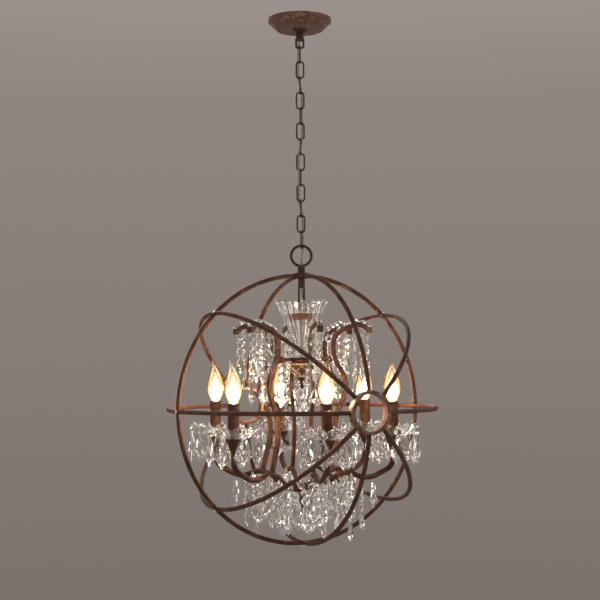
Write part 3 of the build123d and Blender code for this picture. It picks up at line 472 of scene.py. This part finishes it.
def cut_crystal(outline, thickness, table, waist, middle):
    """A crystal with a bevelled flat table in front and a star cut to a point behind. outline is (x, z)."""
    count = len(outline)
    middle = np.array(middle, float)
    corners = [np.array(p, float) for p in outline]
    halves = [(corners[k] + corners[(k + 1) % count]) / 2 for k in range(count)]
    steps = [(k, (k + 1) % count) for k in range(count)]
    vertices, faces = [], []

    def ring(spots, share, depth):
        for spot in spots:
            x, z = middle + (spot - middle) * share
            vertices.append((x, depth * thickness, z))

    def crossed(outer, inner, flip):
        """Facets between a ring of corners and a ring of half-way points inside it."""
        made = []
        for k, nxt in steps:
            made += [(outer + k, outer + nxt, inner + k), (outer + nxt, inner + nxt, inner + k)]
        faces.extend(f[::-1] if flip else f for f in made)

    ring(corners, 1.0, -GIRDLE)
    ring(halves, (1 + waist) / 2, -SHOULDER)
    ring(corners, (waist + table) / 2, -TABLE)
    crossed(0, count, False)
    for k, nxt in steps:
        faces.append((count + k, 2 * count + nxt, 2 * count + k))
        faces.append((count + k, count + nxt, 2 * count + nxt))
    faces.append(tuple(2 * count + k for k in range(count)))
    back = 3 * count
    ring(corners, 1.0, GIRDLE)
    ring(halves, waist, SHOULDER)
    ring(corners, table * STAR_SHARE, STAR)
    vertices.append((middle[0], POINT * thickness, middle[1]))
    crossed(back, back + count, True)
    for k, nxt in steps:
        faces.append((back + 2 * count + nxt, back + count + k, back + 2 * count + k))
        faces.append((back + count + nxt, back + count + k, back + 2 * count + nxt))
        faces.append((back + 2 * count + k, back + 3 * count, back + 2 * count + nxt))
    for k, nxt in steps:
        faces.append((nxt, k, back + k, back + nxt))
    return np.array(vertices), faces


def octagon(width):
    """A regular octagon hung from its top side, width across flats."""
    reach = width / 2 / cos(pi / 8)
    angles = [pi / 8 + k * pi / 4 for k in range(8)]
    return [(reach * cos(angle), reach * sin(angle) - width / 2) for angle in angles]


def drop_outline(width, height, half):
    """A closed outline from half of one: shares of half the width and of the height, from the top down."""
    right = [(x * width / 2, -z * height) for x, z in half]
    left = [(-x, z) for x, z in reversed(right) if x > 0]
    return (left + right)[::-1]


def cut_drop(half, width, height, thickness, middle, table=0.36, waist=0.70):
    """A drop's cut, its sizes and the depth of its middle under its top in mm."""
    outline = drop_outline(width * MM, height * MM, half)
    return cut_crystal(outline, thickness * MM, table, waist, (0, -middle * MM))


def crystal_ball(radius, rows=9, around=12):
    """A ball cut in staggered rows of facets, hung from its top."""
    vertices = [(0, 0, 0)]
    for r in range(1, rows):
        polar = pi * r / rows
        vertices += turned_ring(radius * sin(polar), radius * cos(polar) - radius, around, 0.5 * (r % 2))
    vertices.append((0, 0, -2 * radius))
    faces = []
    for k in range(around):
        nxt = (k + 1) % around
        faces.append((0, 1 + k, 1 + nxt))
        for r in range(rows - 2):
            a, b = 1 + r * around, 1 + (r + 1) * around
            if r % 2:
                faces += [(a + k, b + k, a + nxt), (a + nxt, b + k, b + nxt)]
            else:
                faces += [(a + k, b + k, b + nxt), (a + k, b + nxt, a + nxt)]
        last = 1 + (rows - 2) * around
        faces.append((len(vertices) - 1, last + nxt, last + k))
    return np.array(vertices), faces


KITE_HALF = [(0.10, 0.0), (0.34, 0.10), (0.62, 0.34), (1.0, 0.64), (0.0, 1.0)]
ALMOND_HALF = [(0.12, 0.0), (0.36, 0.12), (0.66, 0.36), (0.97, 0.60), (0.92, 0.76), (0.55, 0.92), (0.0, 1.0)]
BEAD_WIDTH, BEAD_THICKNESS = 13.4 * MM, 7 * MM
BEAD_MIDDLE = (0, -BEAD_WIDTH / 2)
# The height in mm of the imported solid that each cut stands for, and the cut.
CUTS = {
    "bead": (13.5, cut_crystal(octagon(BEAD_WIDTH), BEAD_THICKNESS, table=0.46, waist=0.84, middle=BEAD_MIDDLE)),
    "almond": (36.0, cut_drop(ALMOND_HALF, 16.5, 36, thickness=9, middle=23, table=0.42, waist=0.74)),
    "kite": (44.0, cut_drop(KITE_HALF, 26, 44, thickness=10, middle=27)),
    "big": (54.0, cut_drop(KITE_HALF, 34, 54, thickness=12, middle=34)),
}
# The kites under the dishes are larger than the others.
DISH_CUTS = {**CUTS, "kite": (44.0, cut_drop(KITE_HALF, 32, 52, thickness=11, middle=33))}
BALL_LEAST_DEPTH = 0.9  # what is deeper than this share of its width is a ball
WELD = 1e-6


def solids_of(node):
    """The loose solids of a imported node: for each, its top point, size and turn about Z."""
    welded = bmesh.new()
    welded.from_mesh(frame["nodes"][node].data)
    bmesh.ops.remove_doubles(welded, verts=welded.verts, dist=WELD)
    found, seen = [], set()
    for start in welded.verts:
        if start in seen:
            continue
        island, todo = [], [start]
        seen.add(start)
        while todo:
            vertex = todo.pop()
            island.append(vertex.co.copy())
            for edge in vertex.link_edges:
                other = edge.other_vert(vertex)
                if other not in seen:
                    seen.add(other)
                    todo.append(other)
        points = np.array(island)
        middle = points[:, :2].mean(0)
        flat = points[:, :2] - middle
        _, axes = np.linalg.eigh(flat.T @ flat)
        thin, across = axes[:, 0], axes[:, 1]
        found.append({
            "top": (*middle, points[:, 2].max()), "height": np.ptp(points[:, 2]), "width": np.ptp(flat @ across),
            "depth": np.ptp(flat @ thin), "turn": atan2(across[1], across[0]),
        })
    welded.free()
    return found


def crystal_for(solid, cuts):
    """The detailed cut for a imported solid."""
    if solid["depth"] > BALL_LEAST_DEPTH * solid["width"]:
        return crystal_ball(solid["height"] / 2)
    kind = min(cuts, key=lambda k: abs(cuts[k][0] * MM - solid["height"]))
    return cuts[kind][1]


PIN_RING_RADIUS, PIN_WIRE_RADIUS, PIN_LIFT = 1.9 * MM, 0.42 * MM, 0.2 * MM
PIN_RING = tube(
    [(0, PIN_RING_RADIUS * cos(a), PIN_RING_RADIUS * sin(a)) for a in np.linspace(0, 2 * pi, 10, endpoint=False)],
    PIN_WIRE_RADIUS, sides=5, closed=True,
)


def dress_crystals(node):
    """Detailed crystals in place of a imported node's plain ones, and the wire loop that each hangs by."""
    solids, body = solids_of(node), node_body(node)
    cuts = DISH_CUTS if node == "dish_drops" else CUTS
    lift = Vector((0, 0, PIN_LIFT))
    cut = merged(placed(crystal_for(s, cuts), s["top"], s["turn"]) for s in solids)
    add_piece(node + "_cut", *cut, CRYSTAL, body, replaces=[node], slot="crystal")
    loops = merged(placed(PIN_RING, Vector(s["top"]) + lift, s["turn"]) for s in solids)
    add_piece(node + "_pins", *loops, SCREW, body, smooth=True, slot="zinc")


CRYSTAL_NODES = (
    "dish_drops", "hook_strands", "spider_crystals", "basket_strands", "column_crystals", "finial_drop"
)
for crystal_node in CRYSTAL_NODES:
    dress_crystals(crystal_node)

GARLAND_SCALE, GARLAND_SINK, GARLAND_STEP = 0.82, 0.3 * MM, 11.2 * MM
HOOK_SPAN = (0.129, 0.066)  # radii along a hook's top, from its end inwards
STRAP_SPAN = (0.126, 0.066)  # heights over the orb's centre down the outside of a strap
CAST_FROM = 0.25  # well outside the straps


def bead_garlands():
    """Small beads wired along the top of each hook and down the outside of its strap."""
    straps = BVHTree.FromObject(frame["nodes"]["scroll_straps"], bpy.context.evaluated_depsgraph_get())
    bead, bead_faces = CUTS["bead"][1]
    bead = (bead - np.array((0, *BEAD_MIDDLE))) * GARLAND_SCALE
    up = Vector((0, 0, 1))
    parts = []
    for azimuth in ARM_AZIMUTHS:
        outward = Vector((sin(azimuth), -cos(azimuth), 0))
        across = Vector((cos(azimuth), sin(azimuth), 0))
        casts = [(outward * r + up * (ORB_Z + CAST_FROM), -up) for r in np.arange(*HOOK_SPAN, -GARLAND_STEP)]
        casts += [(outward * CAST_FROM + up * (ORB_Z + z), -outward) for z in np.arange(*STRAP_SPAN, -GARLAND_STEP)]
        for start, direction in casts:
            spot, normal, _, _ = straps.ray_cast(start, direction)
            if spot is None:
                continue
            normal = (normal - across * normal.dot(across)).normalized()
            turn = np.array((across, normal, across.cross(normal)))
            centre = spot + normal * (BEAD_THICKNESS / 2 * GARLAND_SCALE - GARLAND_SINK)
            parts.append((bead @ turn + np.array(centre), bead_faces))
    return merged(parts)


add_piece("hook_garlands", *bead_garlands(), CRYSTAL, "candelabra", slot="crystal")

# --- pressed glass: vase, dishes and bowl ---------------------------------------------------------------
LEAST_RADIUS = 0.3 * MM
INSIDE_LIFT = 0.4  # how far the inside stands over the outside, as a share of the wall
INSIDE_FLUTES = 0.45  # the depth of the flutes inside, as a share of those outside
FOOT_FLUTES = 0.25  # their depth at the foot, as a share of that at the rim
LOBE_POWER, CURL_POWER, LIFT_POWER = 1.4, 6, 4
LOBE_MIDDLE, LIFT_MIDDLE = 0.5, 0.35


def fluted_glass(outer, wall, flutes, depth, rim_lift, curl, sides, foot=0.3, ridges=0, ridge_depth=0.0):
    """A fluted glass shell: ribs that deepen towards a scalloped, curling rim. outer is (radius, height)."""
    outside = smooth_profile(outer)
    count = len(outside)
    if ridges:
        wave_of = 2 * pi * ridges / (count - 1)
        outside = [(r + ridge_depth * sin(wave_of * i), z) for i, (r, z) in enumerate(outside)]
    inside = [
        (max(r - wall, LEAST_RADIUS), z + (wall * INSIDE_LIFT if i else wall)) for i, (r, z) in enumerate(outside)
    ]
    profile = outside + inside[::-1]

    def wave(angle, row):
        is_outside = row < count
        share = (row if is_outside else 2 * count - 1 - row) / (count - 1)
        lobe = 1 - abs(sin(flutes * angle / 2)) ** LOBE_POWER
        swell = max(0.0, (share - foot) / (1 - foot))
        reach = depth * (1.0 if is_outside else INSIDE_FLUTES) * (FOOT_FLUTES + (1 - FOOT_FLUTES) * swell)
        scale = 1 + reach * (lobe - LOBE_MIDDLE) + curl * swell ** CURL_POWER * lobe
        return scale, rim_lift * swell ** LIFT_POWER * (lobe - LIFT_MIDDLE)

    rings, faces = lathe(profile, sides, wave)
    return rings, faces + end_caps(len(profile), sides)


def scaled_line(shares, radius, low, high):
    """A profile from shares of a radius and of the height between two levels."""
    return [(r * radius, low + z * (high - low)) for r, z in shares]


VASE_LINE = [
    (0.32, 0), (0.40, 0.03), (0.40, 0.09), (0.355, 0.16), (0.37, 0.28), (0.43, 0.40), (0.54, 0.52), (0.68, 0.68),
    (0.81, 0.83), (0.90, 0.92), (0.97, 0.975),
]
vase = fluted_glass(
    scaled_line(VASE_LINE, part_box("glass_vase")[1].x, *heights_of("glass_vase")),
    wall=2.6 * MM, flutes=16, depth=0.20, rim_lift=7 * MM, curl=0.06, sides=192,
)
add_piece("vase_fluted", *vase, PRESSED, "candelabra", smooth=True, replaces=["glass_vase"], slot="clear_glass")

DISH_LINE = [(0.30, 0), (0.46, 0.02), (0.60, 0.10), (0.72, 0.26), (0.84, 0.50), (0.94, 0.78), (1.0, 1.0)]
DISH_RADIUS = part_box("glass_dishes")[1].x - max(c.x for c in CANDLES)
dish = fluted_glass(
    scaled_line(DISH_LINE, DISH_RADIUS, *heights_of("glass_dishes")),
    wall=2.2 * MM, flutes=12, depth=0.10, rim_lift=6 * MM, curl=0.02, sides=120, ridges=7, ridge_depth=0.8 * MM,
)
dishes = merged(placed(dish, (c.x, c.y, 0), a) for c, a in zip(CANDLES, ARM_AZIMUTHS))
add_piece("dishes_fluted", *dishes, PRESSED, "candelabra", smooth=True, replaces=["glass_dishes"], slot="clear_glass")

BOWL_LOW, BOWL_TOP = heights_of("glass_bowl")
BOWL_HEIGHT, BOWL_RIM = BOWL_TOP - BOWL_LOW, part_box("glass_bowl")[1].x
BOWL_FOOT, BOWL_POWER, BOWL_WALL = 0.42, 0.9, 2 * MM


def bowl_radius(share):
    """The bowl's outer radius at a share of its height."""
    return BOWL_RIM * (BOWL_FOOT + (1 - BOWL_FOOT) * sin(share * pi / 2) ** BOWL_POWER)


def diamond_bowl(around=14, rows=6):
    """A bowl cut all over in diamonds, with a plain inside."""
    vertices = []
    for wall in (0, BOWL_WALL):
        for r in range(rows + 1):
            share = r / rows
            z = BOWL_LOW + share * BOWL_HEIGHT + (1 - share) * wall
            vertices += turned_ring(bowl_radius(share) - wall, z, around, 0.5 * (r % 2))
    inner, top = len(vertices) // 2, rows * around
    steps = [(k, (k + 1) % around) for k in range(around)]
    faces = []
    for r in range(rows):
        a, b = r * around, (r + 1) * around
        for k, nxt in steps:
            if r % 2:
                faces += [(a + k, a + nxt, b + nxt), (a + k, b + nxt, b + k)]
            else:
                faces += [(a + k, a + nxt, b + k), (a + nxt, b + nxt, b + k)]
    for r in range(rows):
        a, b = inner + r * around, inner + (r + 1) * around
        faces += [(a + k, b + k, b + nxt, a + nxt) for k, nxt in steps]
    for k, nxt in steps:
        faces.append((top + k, top + nxt, inner + top + nxt, inner + top + k))
        faces.append((k, inner + k, inner + nxt, nxt))
    return vertices, faces


def bowl_lattice(ribs=6, twist=1.3, rib_radius=0.6 * MM, rib_lift=0.4 * MM):
    """Raised crossing ribs over the bowl, and a bead round its rim and its foot."""
    parts = []
    for lean in (1, -1):
        for i in range(ribs):
            points = []
            for share in np.linspace(0.02, 0.98, 12):
                radius = bowl_radius(share) + rib_lift
                angle = 2 * pi * i / ribs + lean * twist * share
                points.append((radius * cos(angle), radius * sin(angle), BOWL_LOW + share * BOWL_HEIGHT))
            parts.append(tube(points, rib_radius, sides=6))
    for share, bead_radius in ((0.98, 1.5 * MM), (0.03, 1.1 * MM)):
        ring = turned_ring(bowl_radius(share), BOWL_LOW + share * BOWL_HEIGHT, 48)
        parts.append(tube(ring, bead_radius, sides=8, closed=True))
    return merged(parts)


def bowl_lining(inset=3.2 * MM, wall=1 * MM, lift=2.5 * MM, depth=0.88):
    """The iron cup that the bowl sits round, a little inside the glass."""
    outer = [
        (bowl_radius(share) - inset, BOWL_LOW + lift + depth * share * BOWL_HEIGHT) for share in np.linspace(0, 1, 9)
    ]
    inner = [(radius - wall, z) for radius, z in outer[::-1]]
    return lathe(outer + inner + outer[:1])


add_piece("bowl_cut", *diamond_bowl(), BOWL_GLASS, "candelabra", replaces=["glass_bowl"], slot="clear_glass")
# The lattice ribs are the bowl's cut glass edges, given pale gold metal as a painted glint.
add_piece("bowl_lattice", *bowl_lattice(), PAINTED_EDGE_GLINTS, "candelabra", smooth=True, slot="clear_glass")
add_piece("bowl_lining", *bowl_lining(), LINING, "candelabra", smooth=True, slot="rust_iron")


# --- forged ends ----------------------------------------------------------------------------------------
def bevelled_block(size, bevel):
    """A block with rounded edges about its own middle."""
    shape = bmesh.new()
    bmesh.ops.create_cube(shape, size=1.0, matrix=Matrix.Diagonal((*size, 1)))
    bmesh.ops.bevel(shape, geom=shape.edges[:], offset=bevel, segments=2, affect="EDGES", profile=0.7)
    shape.verts.index_update()
    part = ([tuple(v.co) for v in shape.verts], [tuple(v.index for v in f.verts) for f in shape.faces])
    shape.free()
    return part


def on_each_arm(part, radius, height):
    """A part at a radius and a height over the orb's centre on each of the arms."""
    return merged(placed(part, at_azimuth(radius, a, ORB_Z + height), a) for a in ARM_AZIMUTHS)


# The forged heads where the spider's bars meet the straps, and the blunt ends of the hooks.
spider_head = bevelled_block((9 * MM, 5 * MM, 13 * MM), 1.2 * MM)
hook_end = bevelled_block((10.5 * MM, 8.5 * MM, 11.5 * MM), 1.8 * MM)
heads = on_each_arm(spider_head, radius=54.5 * MM, height=91.5 * MM)
ends = on_each_arm(hook_end, radius=130.5 * MM, height=146.2 * MM)
add_piece("spider_heads", *heads, RUST, "candelabra", slot="rust_iron")
add_piece("hook_ends", *ends, DARK, "candelabra", slot="dark_iron")


# --- lit bulbs ------------------------------------------------------------------------------------------
def in_mm(points):
    return [(r * MM, z * MM) for r, z in points]


BULB_HEIGHT, TIP_BEND, BEND_FROM, BEND_POWER = 80 * MM, 7 * MM, 0.45, 2.2
TIP_RADIUS = 0.2 * MM
LEAN_STEP = 2.3  # no two bulbs lean the same way
GLASS_LINE = in_mm([(8.8, 0), (10.5, 5), (14.4, 14), (16.4, 25), (15.6, 36), (12.2, 47), (7.6, 57), (4.2, 66),
                    (2.4, 74), (1.2, 80)])
CORE_LINE = in_mm([(0.8, 4), (3.6, 7), (5.8, 12), (6.4, 18), (5.4, 24), (3.0, 30), (0.6, 35)])
# How wide and how high each veil is, as shares of the glass, and its rise in mm.
VEIL_SCALES = [(0.95, 0.86, 1.0), (0.88, 0.73, 1.6), (0.78, 0.62, 2.2), (0.64, 0.53, 3.0)]


def bent_flame(radii, sides=28):
    """A flame-shaped shell from (radius, height) points whose tip, at the bulb's height, leans along +X."""
    line = smooth_profile(radii)
    rings = []
    for radius, z in line:
        lean = TIP_BEND * max(0.0, (z / BULB_HEIGHT - BEND_FROM) / (1 - BEND_FROM)) ** BEND_POWER
        rings += [(lean + x, y, z) for x, y, z in turned_ring(max(radius, TIP_RADIUS), z, sides)]
    return rings, grid(len(line), sides) + end_caps(len(line), sides)


THREAD_LOW, THREAD_LENGTH, THREAD_SAMPLES, TURN_SAMPLES = -26.5, 22, 46, 9
THREAD_RADIUS, THREAD_DEPTH = 6.35, 0.45
CAP_END, NECK_END = (3.0, -27.6), (8.6, -0.2)


def screw_base(sides=24):
    """A bulb's screw base: a rolled thread over a solid cap."""
    line = [CAP_END]
    for i in range(THREAD_SAMPLES):
        radius = THREAD_RADIUS + THREAD_DEPTH * sin(2 * pi * i / TURN_SAMPLES)
        line.append((radius, THREAD_LOW + THREAD_LENGTH * i / (THREAD_SAMPLES - 1)))
    line.append(NECK_END)
    rings, faces = lathe(in_mm(line), sides)
    return rings, faces + end_caps(len(line), sides)


bulb_glass, bulb_core, bulb_base = bent_flame(GLASS_LINE), bent_flame(CORE_LINE), screw_base()
bulb_veils = [
    bent_flame([(r * wide, rise * MM + z * high) for r, z in GLASS_LINE[:-1]]) for wide, high, rise in VEIL_SCALES
]
for number, candle in enumerate(CANDLES, 1):
    body = f"bulb_{number}"
    spot = (candle.x, candle.y, SLEEVE_TOP)
    lean = FIRST_ARM * number * LEAN_STEP + number
    glass, core = placed(bulb_glass, spot, lean), placed(bulb_core, spot, lean)
    add_piece(f"{body}_glass", *glass, BULB_GLASS, body, smooth=True, replaces=[body], slot="bulb_glass")
    add_piece(f"{body}_core", *core, BULB_CORE, body, smooth=True, slot="bulb_glass")
    for layer, (veil, finish) in enumerate(zip(bulb_veils, VEILS), 1):
        add_piece(f"{body}_veil_{layer}", *placed(veil, spot, lean), finish, body, smooth=True, slot="bulb_glass")
    add_piece(f"{body}_base", *placed(bulb_base, spot), ZINC, body, smooth=True, slot="zinc")

# --- the cord, laced through the chain ------------------------------------------------------------------
CORD_RADIUS, CORD_SIDES = 1.6 * MM, 12
CORD_STEPS, CORD_ORDER = 16, 3
CHAIN_TURN = radians(-27.0)
LINKS = [middle_of(f"chain_link_{i:02d}").z for i in range(1, LINK_COUNT + 1)]
LINK_PITCH = LINKS[0] - LINKS[1]
QUARTER = LINK_PITCH / 4
LOOP_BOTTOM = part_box("ceiling_loop")[0].z
RING_LOW, RING_HIGH = heights_of("top_ring")
HANGER_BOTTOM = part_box("hanger_loop")[0].z
# How far from the axis the cord passes in a link, the ceiling loop, the top ring and the hanger loop.
ASIDE, LOOP_ASIDE, RING_ASIDE, HANGER_ASIDE = 3.4 * MM, 3.9 * MM, 4.5 * MM, 3.85 * MM
CORD_TOP, BARREL_EXIT, BESIDE_LOOP = LOOP_BOTTOM + 41 * MM, LOOP_BOTTOM + 15 * MM, LOOP_BOTTOM + 7 * MM
BESIDE_RING, STEM_ENTRY = RING_HIGH - 7.8 * MM, RING_LOW + 20 * MM
STEM_EXIT, BESIDE_HANGER, LOOPS_MEET = HANGER_BOTTOM + 30 * MM, HANGER_BOTTOM + 14 * MM, HANGER_BOTTOM - 0.2 * MM
COLUMN_ENTRY, CORD_END = HANGER_BOTTOM - 12 * MM, HANGER_BOTTOM - 34 * MM
# Sideways in the even links' plane, then away across it, then the height.
CORD_ROUTE = [
    (0, 0, CORD_TOP),
    (0, 0, BARREL_EXIT),
    (-ASIDE, LOOP_ASIDE, BESIDE_LOOP),
    (-ASIDE, LOOP_ASIDE, LINKS[0] - QUARTER),
    (-ASIDE, ASIDE, LINKS[1] + QUARTER),
    (-ASIDE, ASIDE, LINKS[2] + QUARTER),
    (ASIDE, ASIDE, LINKS[2] - QUARTER),
    (ASIDE, ASIDE, LINKS[4]),
    (ASIDE, ASIDE, LINKS[5] + QUARTER),
    (ASIDE, -ASIDE, LINKS[5] - QUARTER),
    (ASIDE, -ASIDE, LINKS[6] + QUARTER),
    (-ASIDE, -ASIDE, LINKS[6] - QUARTER),
    (-ASIDE, -ASIDE, LINKS[8]),
    (-ASIDE, -ASIDE, LINKS[9] + QUARTER),
    (-ASIDE, ASIDE, LINKS[9] - QUARTER),
    (-ASIDE, ASIDE, LINKS[10] + QUARTER),
    (ASIDE, ASIDE, LINKS[10] - QUARTER),
    (ASIDE, RING_ASIDE, LINKS[12] + QUARTER),
    (ASIDE, RING_ASIDE, BESIDE_RING),
    (0, 0, STEM_ENTRY),
    (0, 0, STEM_EXIT),
    (HANGER_ASIDE, HANGER_ASIDE, BESIDE_HANGER),
    (HANGER_ASIDE, HANGER_ASIDE, LOOPS_MEET),
    (0, 0, COLUMN_ENTRY),
    (0, 0, CORD_END),
]
RING_CUT = (RING_HIGH + RING_LOW) / 2 - 8 * MM
BEYOND_ENDS = 1  # past either end of the cord, so that the first and last runs reach them


def nurbs_points(control):
    """Points along the smooth line that the control points steer."""
    data = bpy.data.curves.new("cord_line", "CURVE")
    data.dimensions = "3D"
    spline = data.splines.new("NURBS")
    spline.points.add(len(control) - 1)
    for point, place in zip(spline.points, control):
        point.co = (*place, 1)
    spline.order_u = CORD_ORDER
    spline.use_endpoint_u = True
    data.resolution_u = CORD_STEPS
    carrier = bpy.data.objects.new("cord_line", data)
    bpy.context.collection.objects.link(carrier)
    line = bpy.data.meshes.new_from_object(carrier)
    points = [v.co.copy() for v in line.vertices]
    bpy.data.objects.remove(carrier)
    bpy.data.meshes.remove(line)
    return points


def make_cord():
    """The cord in one run for each joint it passes."""
    side = Vector((cos(CHAIN_TURN), sin(CHAIN_TURN), 0))
    away = Vector((-sin(CHAIN_TURN), cos(CHAIN_TURN), 0))
    line = nurbs_points([side * s + away * a + Vector((0, 0, z)) for s, a, z in CORD_ROUTE])
    rings, _ = tube(line, CORD_RADIUS, CORD_SIDES)
    bodies = ["ceiling", *(f"link_{i:02d}" for i in range(1, LINK_COUNT + 1)), "orb", "candelabra"]
    cuts = [line[0].z + BEYOND_ENDS, *LINKS, RING_CUT, line[-1].z - BEYOND_ENDS]
    last_run = len(bodies) - 2
    runs = []
    for i, (above, below) in enumerate(zip(bodies, bodies[1:])):
        inside = [k for k, point in enumerate(line) if cuts[i] >= point.z >= cuts[i + 1]]
        first, beyond = max(inside[0] - 1, 0), min(inside[-1] + 2, len(line))
        first_cap, last_cap = end_caps(beyond - first, CORD_SIDES)
        faces = grid(beyond - first, CORD_SIDES)
        if i == 0:
            faces.append(first_cap)
        if i == last_run:
            faces.append(last_cap)
        vertices = rings[first * CORD_SIDES:beyond * CORD_SIDES]
        run = add_piece(f"cord_run_{i + 1:02d}", vertices, faces, FLEX, None, smooth=True, slot="cord_gold")
        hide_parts("power_cord")
        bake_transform(run)
        runs.append((run, line[first:beyond]))
    return runs


for run, run_line in make_cord():
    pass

# --- room, light and camera -----------------------------------------------------------------------------
FLOOR_Z, FLOOR_HALF = -2.5, 4.0
FLOOR_COLOUR = (0.60, 0.58, 0.55)
AMBIENT_COLOUR, AMBIENT_STRENGTH = (0.88, 0.81, 0.74), 0.36
# The backdrop's colour by how far up it is looked at, from 0 straight down to 1 straight up.
BACKDROP_STOPS = [
    (0.28, (0.075, 0.064, 0.056)), (0.38, (0.185, 0.155, 0.140)), (0.49, (0.235, 0.200, 0.180)),
    (0.60, (0.275, 0.238, 0.215)), (0.74, (0.46, 0.42, 0.38)),
]
WARM_WHITE, COOL_WHITE, CANDLE_WHITE = (1.0, 0.96, 0.91), (0.96, 0.97, 1.0), (1.0, 0.88, 0.72)
STRIP_COUNT, STRIP_RADIUS, STRIP_SIZE, STRIP_POWER = 16, 2.7, (0.06, 1.3), 3.4
STRIP_HEIGHTS = (-0.5, 0.9)  # over the orb's centre, by turns
STRIP_START = 0.3  # of a step round


def make_floor():
    """A pale floor, at the height of a room's below the ceiling that the part hangs from."""
    mesh = bpy.data.meshes.new("floor")
    corners = [(x * FLOOR_HALF, y * FLOOR_HALF, FLOOR_Z) for x, y in ((-1, -1), (1, -1), (1, 1), (-1, 1))]
    mesh.from_pydata(corners, [], [(0, 1, 2, 3)])
    floor = bpy.data.objects.new("floor", mesh)
    bpy.context.collection.objects.link(floor)
    mesh.materials.append(matt_paint("floor_paint", FLOOR_COLOUR))


def make_world():
    """Soft, even room light, and a plain pale backdrop behind the part and through its glass."""
    world = bpy.data.worlds.new("room")
    bpy.context.scene.world = world
    n = Nodes(world, "OutputWorld")
    ray = n.add("LightPath").outputs
    seen = ray["Is Camera Ray"]
    for kind in ("Is Transmission Ray", "Is Glossy Ray"):
        seen = n.add("Math", {0: seen, 1: ray[kind]}, operation="MAXIMUM").outputs["Value"]
    direction = n.add("TexCoord").outputs["Generated"]
    height = n.add("SeparateXYZ", {0: direction}).outputs["Z"]
    rise = n.add("MapRange", {"Value": height, "From Min": -1.0}).outputs["Result"]
    backdrop = n.add("Background", {"Color": n.ramp(rise, BACKDROP_STOPS)}).outputs["Background"]
    ambient = n.add("Background", {"Color": (*AMBIENT_COLOUR, 1), "Strength": AMBIENT_STRENGTH})
    mixed = n.add("MixShader", {0: seen, 1: ambient.outputs["Background"], 2: backdrop})
    n.finish(mixed.outputs["Shader"])


def area_light(name, place, size, power, colour=WHITE):
    """A soft lamp that faces the orb's centre and isn't seen itself."""
    data = bpy.data.lights.new(name, "AREA")
    data.shape = "RECTANGLE"
    data.size, data.size_y = size
    data.energy = power
    data.color = colour
    lamp = bpy.data.objects.new(name, data)
    bpy.context.collection.objects.link(lamp)
    lamp.location = place
    lamp.visible_camera = False
    lamp.rotation_mode = "QUATERNION"
    lamp.rotation_quaternion = (Vector((0, 0, ORB_Z)) - Vector(place)).to_track_quat("-Z", "Y")


def turned(first, second, angle):
    """Two directions turned in their own plane, the first towards the second."""
    return first * cos(angle) + second * sin(angle), second * cos(angle) - first * sin(angle)


def make_camera():
    """The photograph's camera, as distance from the orb's axis, height over its centre and small turns."""
    focal_px, frame_px, sensor = 1282.5, 600, 36.0
    distance, height, azimuth = 2.4145, 0.086, radians(-27.45)
    yaw, pitch, roll = radians(-0.07), radians(2.80), radians(0.40)
    forward = Vector((-sin(azimuth), cos(azimuth), 0))
    right = Vector((cos(azimuth), sin(azimuth), 0))
    up = Vector((0, 0, 1))
    forward, right = turned(forward, right, yaw)
    forward, up = turned(forward, up, pitch)
    up, right = turned(up, right, roll)
    data = bpy.data.cameras.new("camera")
    data.sensor_width = sensor
    data.lens = focal_px / frame_px * sensor
    camera = bpy.data.objects.new("camera", data)
    bpy.context.collection.objects.link(camera)
    spot = Vector((sin(azimuth), -cos(azimuth), 0)) * distance + Vector((0, 0, ORB_Z + height))
    camera.matrix_world = Matrix.Translation(spot) @ Matrix((right, up, -forward)).transposed().to_4x4()
    bpy.context.scene.camera = camera


make_floor()
make_world()
area_light("key", (-2.4, -2.2, 0.9), size=(1.6, 1.6), power=20, colour=WARM_WHITE)
area_light("fill", (2.6, -1.6, 0.1), size=(1.8, 1.8), power=14, colour=COOL_WHITE)
area_light("back", (0.6, 2.6, 1.0), size=(1.4, 1.4), power=22)
# Tall narrow lamps all round, which the cut glass breaks into glints.
for strip in range(STRIP_COUNT):
    turn = 2 * pi * (strip + STRIP_START) / STRIP_COUNT
    place = at_azimuth(STRIP_RADIUS, turn, ORB_Z + STRIP_HEIGHTS[strip % 2])
    area_light(f"strip_{strip + 1}", place, STRIP_SIZE, STRIP_POWER, CANDLE_WHITE)
make_camera()

bpy.context.scene.view_settings.view_transform = "Standard"
